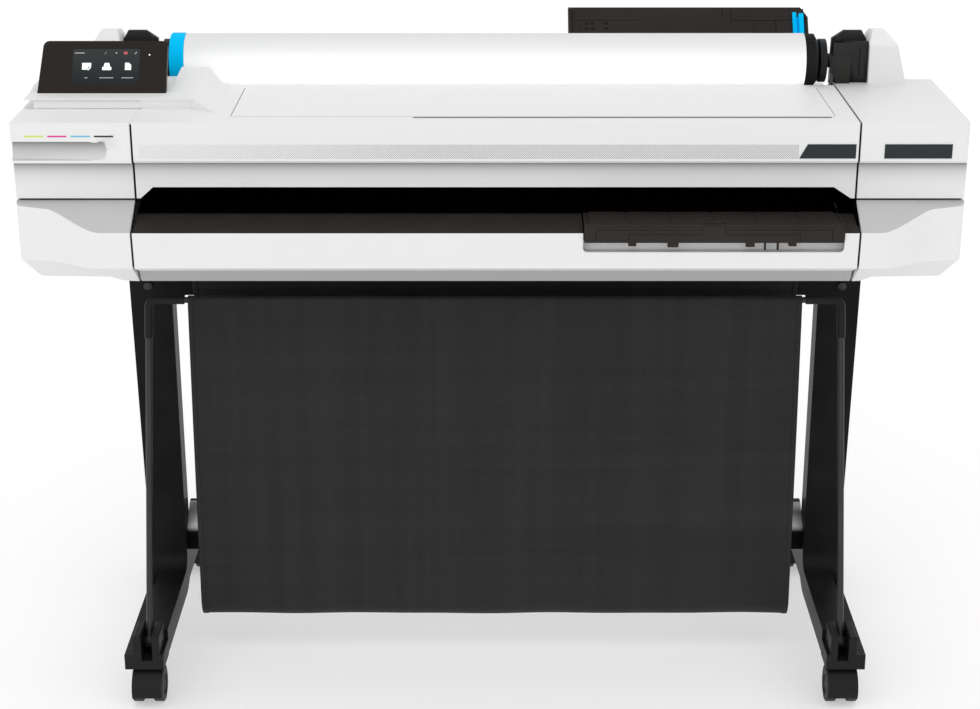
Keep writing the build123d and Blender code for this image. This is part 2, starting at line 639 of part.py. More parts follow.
def platform_shelf():
    """What is cut from the platform's ramp so that it stays low behind the display."""
    with BuildPart() as shelf:
        with BuildSketch(Plane.XY.offset(DECK_Z + 19)):
            with BuildLine():
                corners = ((-HALF_W, 122), (-457.6, 122), (-450.2, 208), (-HALF_W, 208))
                Polyline(*[(x, FRONT_Y + dy) for x, dy in corners], close=True)
            make_face()
        extrude(amount=20)
    return shelf.part


def control_platform():
    """The plate behind the ink door that carries the display, running down to the deck at its right."""
    left, foot_x = -HALF_W + 3.5, -384.6
    front_dy, tip_dy, edge = 84.5, 59.7, 2.0
    sections = ((tip_dy, 14, -419.6), (128, 15, -417), (207, 33, -411.6))
    shelf = platform_shelf()
    blank = screen_blank()
    with BuildPart() as built:
        for dy, top, shoulder in sections:
            with BuildSketch(Plane.XZ.offset(-(FRONT_Y + dy))):
                with BuildLine():
                    corners = ((left, 0), (left, top), (shoulder, top), (foot_x, 0))
                    Polyline(*[(x, DECK_Z + dz) for x, dz in corners], close=True)
                make_face()
        loft(ruled=True)
        shoulder_x = sections[0][2]
        with BuildSketch(Plane.XY.offset(DECK_Z - 1)):
            with BuildLine():
                ahead = (
                    (left - 1, tip_dy - 5), (foot_x + 5, tip_dy - 5), (foot_x, tip_dy),
                    (shoulder_x, front_dy), (left - 1, front_dy),
                )
                Polyline(*[(x, FRONT_Y + dy) for x, dy in ahead], close=True)
            make_face()
        extrude(amount=40, mode=Mode.SUBTRACT)
        under = 14 - edge
        prism([(front_dy - 1, 0), (front_dy, 0), (88.5, under), (front_dy - 1, under)],
              (left - 1, SEAM_LEFT), Mode.SUBTRACT)
        block((SEAM_LEFT - 0.1, shoulder_x - 1), (front_dy - 1, front_dy + 1.2), (-1, under), Mode.SUBTRACT)
        block((left - 1, left + 12), (80, 210), (-1, under), Mode.SUBTRACT)
        add(shelf, mode=Mode.SUBTRACT)
        wedge = [(124, 12), (178, 12), (166, 60), (152, 60)]
        prism(wedge, (-636, -474))
        add(blank, mode=Mode.SUBTRACT)
    save(built, "control_platform")


def screen_face():
    """The plane of the display's face: origin at the middle of its foot, x to the right, y up the face."""
    dy, dz = SCREEN_HEAD[0] - SCREEN_FOOT[0], SCREEN_HEAD[1] - SCREEN_FOOT[1]
    middle = (SCREEN_X[0] + SCREEN_X[1]) / 2
    return Plane(origin=(middle, *deck(*SCREEN_FOOT)), x_dir=(1, 0, 0), z_dir=(0, -dz, dy))


def screen_blank():
    """The display's plain frame: a leaning plate with its two head corners rounded."""
    tall = hypot(SCREEN_HEAD[0] - SCREEN_FOOT[0], SCREEN_HEAD[1] - SCREEN_FOOT[1])
    wide = SCREEN_X[1] - SCREEN_X[0]
    with BuildPart() as plate:
        with BuildSketch(screen_face()):
            with BuildLine():
                Polyline((-wide / 2, 0), (-wide / 2 + 6, tall), (wide / 2, tall), (wide / 2, 0), close=True)
            make_face()
        extrude(amount=-SCREEN_THICK)
        corners = plate.edges().filter_by(lambda e: abs(e.length - SCREEN_THICK) < 0.01)
        fillet(corners.group_by(Axis.Z)[-1], 9)
    return plate.part


def glass(mode):
    """The plate of the display's glass, flush with the display's face."""
    middle = (SCREEN_X[0] + SCREEN_X[1]) / 2
    with BuildSketch(screen_face()) as pane:
        with Locations(((GLASS_X[0] + GLASS_X[1]) / 2 - middle, sum(GLASS_UP) / 2)):
            Rectangle(GLASS_X[1] - GLASS_X[0], GLASS_UP[1] - GLASS_UP[0])
    extrude(pane.sketch, amount=-GLASS_DEEP, mode=mode)


def display_housing():
    """The leaning frame of the control display, with a shallow pocket for its glass."""
    blank = screen_blank()
    with BuildPart() as built:
        add(blank)
        glass(Mode.SUBTRACT)
    save(built, "display_housing")


def touchscreen():
    """The glass of the display."""
    with BuildPart() as built:
        glass(Mode.ADD)
    save(built, "touchscreen")


def front_fascia():
    """The middle of the upper front with a strip of the deck. Its foot flares into the output slot."""
    outline = [
        (2.5, LIP_DZ), (0, LIP_DZ + 3), (0, 0), (44, 0), (44, -2.6), (2.6, -2.6), (2.6, LIP_DZ + 2),
        (10, LIP_DZ), (10.5, -93), (7.4, -93), (6.5, LIP_DZ),
    ]
    corner = [(-467.7, -92.5), (MIDDLE_X[0], -92.5), (MIDDLE_X[0], UPPER_DZ), (-486, UPPER_DZ)]
    other = [(476.3, -92.5), (MIDDLE_X[1], -92.5), (MIDDLE_X[1], UPPER_DZ), (501, UPPER_DZ)]
    with BuildPart() as built:
        prism(outline, MIDDLE_X)
        for flare in (corner, other):
            front_prism(flare, (7.4, 10.4))
        block((LID_X[0] - 0.5, LID_X[1] + 0.5), (LID_DY[0] - 0.4, 45), (-3, 1), Mode.SUBTRACT)
        block((-107, LID_X[1] - 5), (LID_DY[0] - 6, LID_DY[0]), (-3, 1), Mode.SUBTRACT)
        block((MIDDLE_X[0] - 2 * SEAM_GAP + 0.3, MIDDLE_X[0]), (2.6, 44), (-2.6, 0))
    save(built, "front_fascia")


def roll_bed():
    """The rear deck: a frame round the lid and a trough under the roll, closed down to the back."""
    outline = [
        (44.2, 0), (233, 0), (240, -8), (252, -15), (278, -15), (300, -17), (334, -19),
        (BODY_BACK, BACK_DROP), (BODY_BACK, BACK_DROP - 3), (330, -22), (300, -20), (278, -18), (252, -18),
        (238, -10.5), (231, -2.6), (44.2, -2.6),
    ]
    with BuildPart() as built:
        prism(outline, MIDDLE_X)
        lid = (LID_X[0] - 1.2, LID_X[1] + 1.2)
        block(lid, (44, LID_DY[1] + 5.5), (-4, 1), Mode.SUBTRACT)
        for x in (LID_X[0] + 30, LID_X[1] - 30):
            block((x - 3, x + 3), (200, 207.5), (LID_HINGE[1] - 8, LID_HINGE[1] + 4))
            block((x - 3, x + 3), (200, 218), (LID_HINGE[1] - 9, LID_HINGE[1] - 5.2))
            block((x - 3, x + 3), (215, 218), (LID_HINGE[1] - 6, -1))
            shaft((x - 4, x + 4), *LID_HINGE, 2.0 + RUN, Mode.SUBTRACT)
    save(built, "roll_bed")


def top_lid():
    """The hinged cover over the print zone, a shallow tray with its lip at the front."""
    with BuildPart() as built:
        block(LID_X, LID_DY, (-1, LID_TOP))
        chamfer(built.faces().sort_by(Axis.Z)[-1].edges(), 0.9)
        for side in LID_X:
            inward = 2.5 if side < 0 else -2.5
            block(sorted((side + inward, side + inward * 2)), (LID_DY[0] + 6, LID_DY[1] - 18), (-8, -0.5))
        for dy in (LID_DY[0] + 3, 120):
            block((LID_X[0] + 6, LID_X[1] - 6), (dy, dy + 2.5), (-7, -0.5))
        for x in (LID_X[0] + 30, LID_X[1] - 30):
            for place in (x - 6.1, x + 6.1):
                block((place - 2, place + 2), (199, 208), (LID_HINGE[1] - 3.5, -0.5))
            shaft((x - 6, x + 6), *LID_HINGE, 2.0)
    save(built, "top_lid")


def rear_panel():
    """The middle of the back, with the opening for the power inlet."""
    with BuildPart() as built:
        block(MIDDLE_X, (BODY_BACK - WALL, BODY_BACK), (FLOOR_DZ, BACK_DROP - 3.2))
        block(INLET_X, (380, 400), INLET_DZ, Mode.SUBTRACT)
        with Locations(Plane(origin=(225, *deck(BODY_BACK, -165)), z_dir=(0, -1, 0))):
            with GridLocations(14, 14, 16, 4):
                Box(9, 4, 20, mode=Mode.SUBTRACT)
    save(built, "rear_panel")


# ---------------------------------------------------------------- roll
def spindle_houses():
    """The white cheeks outside the spindle's rests, tall beside the roll and leaning in."""
    outline = [(241, 0), (241, 58), (270, 76), (296, 72), (341, -34.5), (DECK_BACK, 0)]
    with BuildPart() as built:
        for side in (-1, 1):
            near, far = STAND_X + side * HOUSE_X[0], STAND_X + side * HOUSE_X[1]
            crest = STAND_X + side * (575 if side > 0 else 582)
            lean = [(far + side, -40), (far, 0), (STAND_X + side * 593, 58), (crest, 77), (crest, 90),
                    (far + side, 90)]
            prism(outline, (min(near, far), max(near, far)))
            front_prism(lean, (230, 350), Mode.SUBTRACT)
            slope = [(near - side, 60), (near, 60), (near + side * 8, 77), (near + side * 8, 92), (near - side, 92)]
            front_prism(slope, (230, 350), Mode.SUBTRACT)
            crests = built.edges().filter_by(Axis.X)
            fillet(crests.sort_by_distance((near + side * 20, *deck(241, 58)))[0], 6)
    save(built, "spindle_houses")


def spindle_brackets():
    """The two black rests: the spindle drops into each from above, behind a lower guard."""
    top = 72.3
    outline = [(250, 0), (250, 55), (262, top), (284, top), (292, 40), (292, -10), (DECK_BACK, 0)]
    slot = SHAFT_R + RUN
    with BuildPart() as built:
        for side in (-1, 1):
            inner, outer = STAND_X + side * BRACKET_X[0], STAND_X + side * BRACKET_X[1]
            x = sorted((inner, outer))
            prism(outline, x)
            guard = [(STAND_X + side * a, dz) for a, dz in ((491, 40), (525, 40), (525, 0), (503.8, 0))]
            front_prism(guard, (243, 251))
            slant = [(inner - side, 60), (inner, 60), (inner + side * 17, top), (inner - side, top)]
            front_prism(slant, (240, 300), Mode.SUBTRACT)
            rounded = [(outer, 60), (outer - side * 7, top), (outer + side, top), (outer + side, 60)]
            front_prism(rounded, (240, 300), Mode.SUBTRACT)
            slit = sorted((outer - side * 14, outer - side * 11))
            block(slit, (249, 252), (10, 50), Mode.SUBTRACT)
            ends = (x[0] - 12, x[1] + 1)
            shaft(ends, ROLL_DY, ROLL_DZ, slot, Mode.SUBTRACT)
            block(ends, (ROLL_DY - slot, ROLL_DY + slot), (ROLL_DZ, 80), Mode.SUBTRACT)
    save(built, "spindle_brackets")


def spindle():
    """The shaft that carries the roll, with a thick collar beside each hub."""
    with BuildPart() as built:
        shaft((STAND_X - SHAFT_HALF, STAND_X + SHAFT_HALF), ROLL_DY, ROLL_DZ, SHAFT_R)
        chamfer(built.edges().filter_by(GeomType.CIRCLE), 1.5)
        for side in (-1, 1):
            collar = sorted((STAND_X + side * COLLAR_X[0], STAND_X + side * COLLAR_X[1]))
            shaft(collar, ROLL_DY, ROLL_DZ, COLLAR_R)
    save(built, "spindle")


def blue_hub():
    """The fixed hub at the left end of the roll: a dished flange and a plug that fills the core."""
    edge = STAND_X - PAPER_HALF
    with BuildPart() as built:
        shaft((edge - 22, edge), ROLL_DY, ROLL_DZ, ROLL_R + 1)
        rims = built.edges().filter_by(GeomType.CIRCLE)
        fillet(rims, 3)
        shaft((edge - 23, edge - 14), ROLL_DY, ROLL_DZ, ROLL_R - 7, Mode.SUBTRACT)
        shaft((edge - 20, edge - 14), ROLL_DY, ROLL_DZ, 16)
        shaft((edge, edge + 40), ROLL_DY, ROLL_DZ, CORE_R)
        shaft((edge - 30, edge + 50), ROLL_DY, ROLL_DZ, SHAFT_R, Mode.SUBTRACT)
    save(built, "blue_hub")


def knurled_hub():
    """The sliding hub at the right end, a ribbed wheel for turning the roll by hand."""
    edge = STAND_X + PAPER_HALF
    ribs, wheel_r = 66, 38.0
    y, z = deck(ROLL_DY, ROLL_DZ)
    with BuildPart() as built:
        shaft((edge, edge + 19), ROLL_DY, ROLL_DZ, wheel_r)
        chamfer(built.edges().filter_by(GeomType.CIRCLE).sort_by(Axis.X)[-1], 5)
        with BuildSketch(Plane.YZ.offset(edge)):
            with Locations((y, z)):
                with PolarLocations(wheel_r + 0.2, ribs):
                    Rectangle(2.6, 1.7)
        extrude(amount=15)
        shaft((edge - 40, edge), ROLL_DY, ROLL_DZ, CORE_R)
        shaft((edge - 41, edge + 20), ROLL_DY, ROLL_DZ, SHAFT_R, Mode.SUBTRACT)
    save(built, "knurled_hub")


def paper_roll():
    """The wound paper on its board core."""
    with BuildPart() as built:
        shaft((STAND_X - PAPER_HALF, STAND_X + PAPER_HALF), ROLL_DY, ROLL_DZ, ROLL_R)
        shaft(
            (STAND_X - PAPER_HALF - 1, STAND_X + PAPER_HALF + 1), ROLL_DY, ROLL_DZ, CORE_R, Mode.SUBTRACT
        )
    save(built, "paper_roll")


# ---------------------------------------------------------------- output
def output_platen():
    """The plate under the print zone, running down to the front as the output ramp."""
    outline = [
        (156, -102), (84, -102), (30, -124), (7, -131.6), (BULGE_DY, BULGE_TOP_DZ),
        (BULGE_DY + 3, BULGE_TOP_DZ - 1), (8, -135), (31, -127.5), (84, -105), (156, -105),
    ]
    notch = (TRAY_X[0] - 1.5, TRAY_X[1] + 1.5)
    with BuildPart() as built:
        prism(outline, MIDDLE_X)
        block(notch, (-60, SLOT_EDGE_DY), (-150, -100), Mode.SUBTRACT)
        for dy in (95, 148):
            block((MIDDLE_X[0] + 2, MIDDLE_X[1] - 2), (dy, dy + 3), (-114, -104))
    save(built, "output_platen")


def output_tray():
    """A dark tray that pulls forward out of its notch, its front wall lined with two stepped outlines."""
    x0, x1 = TRAY_X
    under, rim = TRAY_DZ
    leaf_dz, front, line = -133.2, -51.0, 0.8
    centre = (x0 + x1) / 2 - 0.35
    middle = (centre - 15.6, centre + 15.6)
    with BuildPart() as built:
        block(TRAY_X, (front, 68), TRAY_DZ)
        block((x0 + 3, x1 - 3), (front + 3, 65), (under + 3, rim + 1), Mode.SUBTRACT)
        block((x0 + 6, x1 - 6), (front - 1, 61), (leaf_dz, rim + 1), Mode.SUBTRACT)
        block((x0 + 3, x1 - 3), (front - 1, front + 4), (leaf_dz, rim + 1), Mode.SUBTRACT)
        for x in (x0 + 3, x1 - 12):
            block((x, x + 9), (front + 2.5, 65.5), (under + 2.5, leaf_dz))
        groove = (front - 1, front + 0.8)
        for reach, top in ((16, -137.8), (60.5, -144.4)):
            for near, far in ((x0 + reach, middle[0]), (x1 - reach, middle[1])):
                block(sorted((near, far)), groove, (top, top + line), Mode.SUBTRACT)
                block((near - line / 2, near + line / 2), groove, (under + 1.5, top + line), Mode.SUBTRACT)
        for x in middle:
            block((x - line / 2, x + line / 2), groove, (-144.4, leaf_dz + 1), Mode.SUBTRACT)
        for x, wide, tall in ((195, 11, 5), (251, 15, 6.5), (357, 12, 6), (377.5, 2.2, 11), (395, 2.2, 11),
                              (415, 11, 5)):
            block((x - wide / 2, x + wide / 2), (front + 1, front + 9), (under - tall, under + 0.5))
    save(built, "output_tray")


def tray_extension():
    """The leaf that slides further out of the output tray, over the tray's front wall."""
    x0, x1 = TRAY_X
    with BuildPart() as built:
        block((x0 + 3.3, x1 - 3.3), (-50.7, 58), (-133, -130.2))
        block((x0 + 7, x1 - 7), (-44, 58), (-131, -128.6))
        for part in range(1, 6):
            x = x0 + (x1 - x0) * part / 6
            block((x - 1, x + 1), (-40, 52), (-129.4, -128), Mode.SUBTRACT)
        centre = (x0 + x1) / 2 - 0.35
        block((centre - 15.6, centre + 15.6), (-51, -43), (-131.2, -127), Mode.SUBTRACT)
    save(built, "tray_extension")


# ---------------------------------------------------------------- sheet feeder
def feeder_face():
    """The plane of the feeder's leaning back: origin at its left foot, x to the right, y up the lean."""
    dy, dz = FEEDER_HEAD[0] - FEEDER_FOOT[0], FEEDER_HEAD[1] - FEEDER_FOOT[1]
    return Plane(origin=(FEEDER_X[0], *deck(*FEEDER_FOOT)), x_dir=(1, 0, 0), z_dir=(0, -dz, dy))


def leaf(x, up, deep, mode=Mode.ADD):
    """A plate along the feeder's lean: across x, between two heights up it and two depths out of it."""
    with BuildSketch(feeder_face().offset(deep[0])) as plate:
        with Locations(((x[0] + x[1]) / 2 - FEEDER_X[0], (up[0] + up[1]) / 2)):
            Rectangle(x[1] - x[0], up[1] - up[0])
    extrude(plate.sketch, amount=deep[1] - deep[0], mode=mode)


def sheet_feeder():
    """The single-sheet support behind the roll: a foot on the deck, a leaning back and two rails."""
    tall = hypot(FEEDER_HEAD[0] - FEEDER_FOOT[0], FEEDER_HEAD[1] - FEEDER_FOOT[1])
    x0, x1 = FEEDER_X
    with BuildPart() as built:
        foot = [(334, -19), (334, -6), (345, 0), (352, -8), (374, -46)]
        prism(foot, FEEDER_X)
        leaf(FEEDER_X, (0, tall), (-3, 0))
        for rail in ((x0, x0 + 5), (x1 - 5, x1)):
            leaf(rail, (14, tall), (-1, 8))
        for x in (x0 + 60, x1 - 72):
            leaf((x, x + 12), (20, tall - 10), (-8, -2))
        block((x0 + 30, x1 - 30), (409.5, 421.5), (68, 72))
        block((x0 - 1, x1 + 1), (380, 450), (FEEDER_HEAD[1], 110), Mode.SUBTRACT)
        slope = [(x1 + 1, 68.5), (x1, 69.5), (x1 - 10, FEEDER_HEAD[1]), (x1 - 10, 110), (x1 + 1, 110)]
        front_prism(slope, (380, 450), Mode.SUBTRACT)
    save(built, "sheet_feeder")


def feeder_extension():
    """The thin upper leaf that pulls up between the feeder's rails, lined with its two folded flaps."""
    x0, x1 = FEEDER_X[0] + 5.3, FEEDER_X[1] - 5.3
    flap, line = 95.5, 0.9
    with BuildPart() as built:
        leaf((x0, x1), (28, 116), (0.2, 2.2))
        leaf((x0 + 13, x0 + 75), (74, flap - 1.5), (2, 2.9))
        leaf((x1 - 78, x1 - 18), (74, flap - 1.5), (2, 2.9))
        lines = (((x0 + 6, x0 + 107), (flap, flap + line)), ((x0 + 106, x0 + 107), (flap, flap + 8)),
                 ((x1 - 112, x1 - 18), (flap, flap + line)), ((x1 - 113, x1 - 112), (flap, flap + 18)),
                 ((x1 - 126, x1 - 125), (flap + 8, flap + 18)), ((x1 - 44, x1 - 43), (74, flap - 1.5)))
        for x, up in lines:
            leaf(x, up, (1.3, 3.2), Mode.SUBTRACT)
        for x in (x0 + 20, x0 + 30, x0 + 51):
            for up in (79, 88):
                leaf((x, x + 5), (up, up + 4), (1.0, 3.2), Mode.SUBTRACT)
    save(built, "feeder_extension")


def paper_guide():
    """The blue side guide, standing out from the feeder and sliding across it."""
    with BuildPart() as built:
        leaf((465.3, 480.8), (22, 100), (3.2, 5.2))
        leaf((465.3, 471), (22, 107), (3.2, 8))
        leaf((474, 480.8), (22, 102), (3.2, 15))
        fillet(built.edges().filter_by(Axis.X).sort_by(Axis.Z)[-1], 1)
    save(built, "paper_guide")


# ---------------------------------------------------------------- print mechanism
def chassis():
    """The steel frame of the print mechanism: a back plate, a foot flange and two cheeks."""
    with BuildPart() as built:
        block((-620, 570), (203, 205), (-101.5, -20))
        block((-CHEEK_X, CHEEK_X), (188, 205), (-103, -101))
        for side in (-1, 1):
            cheek = sorted((side * CHEEK_X, side * (CHEEK_X + 3)))
            block(cheek, (134, 205), (-125, -24))
            shaft((cheek[0] - 1, cheek[1] + 1), *RAIL, RAIL_R, Mode.SUBTRACT)
            shaft((cheek[0] - 1, cheek[1] + 1), *FEED, 5.0 + RUN, Mode.SUBTRACT)
            shaft((cheek[0] - 1, cheek[1] + 1), FEED[0], PINCH_DZ, 3.0 + RUN, Mode.SUBTRACT)
        block((PULLEY_X[0] - 10, PULLEY_X[0] + 10), (BELT_DY - 8, 204), (-45, -42))
        post(PULLEY_X[0], BELT_DY, (DECK_Z - 43, DECK_Z - 22), 3.0)
    save(built, "chassis")


def guide_rail():
    """The polished bar that the carriage slides along."""
    with BuildPart() as built:
        shaft((-CHEEK_X - 3, CHEEK_X + 3), *RAIL, RAIL_R)
    save(built, "guide_rail")


def carriage():
    """The printhead carriage, parked at the right, with the head below and the belt clamp behind."""
    with BuildPart() as built:
        block((PARK_X - 55, PARK_X + 55), (92, 164), (-80, -14))
        chamfer(built.edges().group_by(Axis.Z)[-1], 3)
        block((PARK_X - 44, PARK_X + 44), (98, 138), (-98, -79))
        block((PARK_X - 18, PARK_X + 18), (163, 182.5), (-36, -24))
        shaft((PARK_X - 56, PARK_X + 56), *RAIL, RAIL_R + RUN, Mode.SUBTRACT)
    save(built, "carriage")


def drive_belt():
    """The toothed belt between the motor's pulley and the idler, drawn as a plain band."""
    y, z = FRONT_Y + BELT_DY, DECK_Z + BELT_DZ
    middle = ((PULLEY_X[0] + PULLEY_X[1]) / 2, y)
    span = PULLEY_X[1] - PULLEY_X[0]
    with BuildPart() as built:
        with BuildSketch(Plane.XY.offset(z - 3)):
            with Locations(middle):
                SlotCenterToCenter(span, 2 * (PULLEY_R + 1.4))
                SlotCenterToCenter(span, 2 * (PULLEY_R + 0.05), mode=Mode.SUBTRACT)
        extrude(amount=6)
    save(built, "drive_belt")


def pulleys():
    """The belt's two toothed pulleys, with flanges above and below the belt."""
    for name, x, bore in (("motor_pulley", PULLEY_X[1], 2.5), ("idler_pulley", PULLEY_X[0], 3.0)):
        with BuildPart() as built:
            post(x, BELT_DY, (DECK_Z - 37, DECK_Z - 24), PULLEY_R)
            for z in (-37, -25.5):
                post(x, BELT_DY, (DECK_Z + z, DECK_Z + z + 1.5), PULLEY_R + 2.5)
            post(x, BELT_DY, (DECK_Z - 38, DECK_Z - 20), bore + RUN, Mode.SUBTRACT)
        save(built, name)


def carriage_motor():
    """The motor that drives the belt, its shaft up through the pulley."""
    with BuildPart() as built:
        post(PULLEY_X[1], BELT_DY, (DECK_Z - 101, DECK_Z - 44), 17)
        post(PULLEY_X[1], BELT_DY, (DECK_Z - 45, DECK_Z - 41), 6)
        post(PULLEY_X[1], BELT_DY, (DECK_Z - 42, DECK_Z - 23), 2.5)
    save(built, "carriage_motor")


def rollers():
    """The feed roller with its two journals, and the row of pinch rollers on one thin axle over it."""
    reach = CHEEK_X + 3
    with BuildPart() as feed:
        shaft((-482, 498), *FEED, FEED_R)
        shaft((-reach, reach), *FEED, 5.0)
    save(feed, "feed_roller")
    with BuildPart() as pinch:
        shaft((-reach, reach), FEED[0], PINCH_DZ, 3.0)
        for step in range(9):
            x = -440 + step * 112
            shaft((x - 22, x + 22), FEED[0], PINCH_DZ, PINCH_R)
    save(pinch, "pinch_rollers")


def ink_cartridges():
    """The four ink cartridges behind the door, side by side: yellow, magenta, cyan and black."""
    with BuildPart() as built:
        for index in range(4):
            x = CARTRIDGE_X + index * CARTRIDGE_PITCH
            block((x - 13, x + 13), (14, 70), (-101, -17))
        fillet(built.edges().filter_by(Axis.Z), 2)
        for index in range(4):
            x = CARTRIDGE_X + index * CARTRIDGE_PITCH
            block((x - 8, x + 8), (11, 16), (-60, -36))
    save(built, "ink_cartridges")


def cartridge_bay():
    """The shelf and the dividers that hold the cartridges."""
    with BuildPart() as built:
        block((-651, -516), (12, 75), (-108, -101.2))
        for index in range(5):
            x = CARTRIDGE_X + (index - 0.5) * CARTRIDGE_PITCH
            block((x - 1.2, x + 1.2), (12, 70), (-102, -50))
        block((-651, -516), (71, 75), (-102, -30))
    save(built, "cartridge_bay")


def service_station():
    """The capping station under the parked carriage."""
    with BuildPart() as built:
        block((PARK_X - 46, PARK_X + 52), (94, 150), (-175, -108))
        for x in (-22, 22):
            block((PARK_X + x - 12, PARK_X + x + 12), (104, 132), (-109, -99.5))
            block((PARK_X + x - 9, PARK_X + x + 9), (107, 129), (-104, -98), Mode.SUBTRACT)
    save(built, "service_station")


def power_supply():
    """The boxed power supply on the floor with its inlet through the back."""
    with BuildPart() as built:
        block((-470, -330), (230, 386), (FLOOR_DZ + WALL, -145))
        block((INLET_X[0] + 0.5, INLET_X[1] - 0.5), (385, BODY_BACK), (INLET_DZ[0] + 0.5, INLET_DZ[1] - 0.5))
        middle = (INLET_X[0] + INLET_X[1]) / 2
        recess = (middle - 13.7, middle + 13.7)
        block(recess, (374, BODY_BACK + 1), (-175, -155), Mode.SUBTRACT)
        for x in (-7, 0, 7):
            block((middle + x - 1, middle + x + 1), (373, 388), (-167, -163))
    save(built, "power_supply")


def fascia_plates():
    """The dark plates let on to the front: the blank name plate and the slanted end plate."""
    with BuildPart() as built:
        slant = [(436.3, -30), (503, -30), (503, -50), (425.3, -50)]
        front_prism(slant, (-0.8, 0))
        front_prism([(542.3, -30), (635.3, -30), (635.3, -50), (542.3, -50)], (-0.8, 0))
    save(built, "fascia_plates")


# ---------------------------------------------------------------- build every piece
def build():
    leg("left_leg", -1)
    leg("right_leg", 1)
    foot_caps()
    cross_brace()
    stand_top_beam()
    stand_bolts()
    for end in ("front", "rear"):
        castor(end, "left", -1)
        castor(end, "right", 1)
    basket_arms()
    basket_elbows()
    basket_bars()
    basket_panels()
    base_tray()
    lower_front_panel()
    wing("left_wing", -HALF_W, SEAM_LEFT - SEAM_GAP)
    wing("right_wing", HALF_W, SEAM_RIGHT + SEAM_GAP)
    left_upper_housing()
    right_upper_housing()
    ink_door()
    control_platform()
    display_housing()
    touchscreen()
    front_fascia()
    roll_bed()
    top_lid()
    rear_panel()
    spindle_houses()
    spindle_brackets()
    spindle()
    blue_hub()
    knurled_hub()
    paper_roll()
    output_platen()
    output_tray()
    tray_extension()
    sheet_feeder()
    feeder_extension()
    paper_guide()
    chassis()
    guide_rail()
    carriage()
    drive_belt()
    pulleys()
    carriage_motor()
    rollers()
    ink_cartridges()
    cartridge_bay()
    service_station()
    power_supply()
    fascia_plates()


build()
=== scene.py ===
from math import cos, hypot, pi, radians, sin

import bpy
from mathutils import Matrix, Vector


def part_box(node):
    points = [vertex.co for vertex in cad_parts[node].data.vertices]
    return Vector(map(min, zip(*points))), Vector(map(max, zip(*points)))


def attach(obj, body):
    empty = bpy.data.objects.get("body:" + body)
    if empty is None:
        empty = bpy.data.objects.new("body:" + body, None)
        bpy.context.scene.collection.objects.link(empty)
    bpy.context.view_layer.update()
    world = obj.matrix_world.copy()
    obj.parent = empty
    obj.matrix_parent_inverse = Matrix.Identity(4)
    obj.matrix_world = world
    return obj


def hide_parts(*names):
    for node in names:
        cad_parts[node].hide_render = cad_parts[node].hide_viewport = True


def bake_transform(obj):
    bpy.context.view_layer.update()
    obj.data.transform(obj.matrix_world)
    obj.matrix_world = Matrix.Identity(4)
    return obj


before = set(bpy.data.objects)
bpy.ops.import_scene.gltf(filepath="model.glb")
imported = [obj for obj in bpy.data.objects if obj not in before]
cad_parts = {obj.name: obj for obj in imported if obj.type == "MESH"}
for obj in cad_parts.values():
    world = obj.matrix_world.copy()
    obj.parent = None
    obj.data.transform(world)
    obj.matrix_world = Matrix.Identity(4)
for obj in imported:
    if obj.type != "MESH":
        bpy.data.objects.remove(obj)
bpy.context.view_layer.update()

MM = 0.001
EULER = 2.71828
DECK_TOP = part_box("roll_bed")[1].z
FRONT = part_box("front_fascia")[0].y

# heights of the front's details, measured down from the deck
GRIP_DROP = 26.5 * MM  # top of the ink door's finger grip
LIP_DROP = 57 * MM  # lower edge of the upper front
BULGE_DROP = 143 * MM  # where the lower pods reach their full depth
GRIP_END = -0.52  # x where the finger grip stops

# camera
CAMERA_PLACE = (0.0065, -2.834, 1.5127)
CAMERA_TILT = 20.42  # degrees below the horizontal
FOCAL_LENGTH = 73.47  # mm, on a 36 mm sensor
SIDE_SHIFT = -5 / 980  # share of the picture's width

RIGHT, UP = (1, 0, 0), (0, 0, 1)


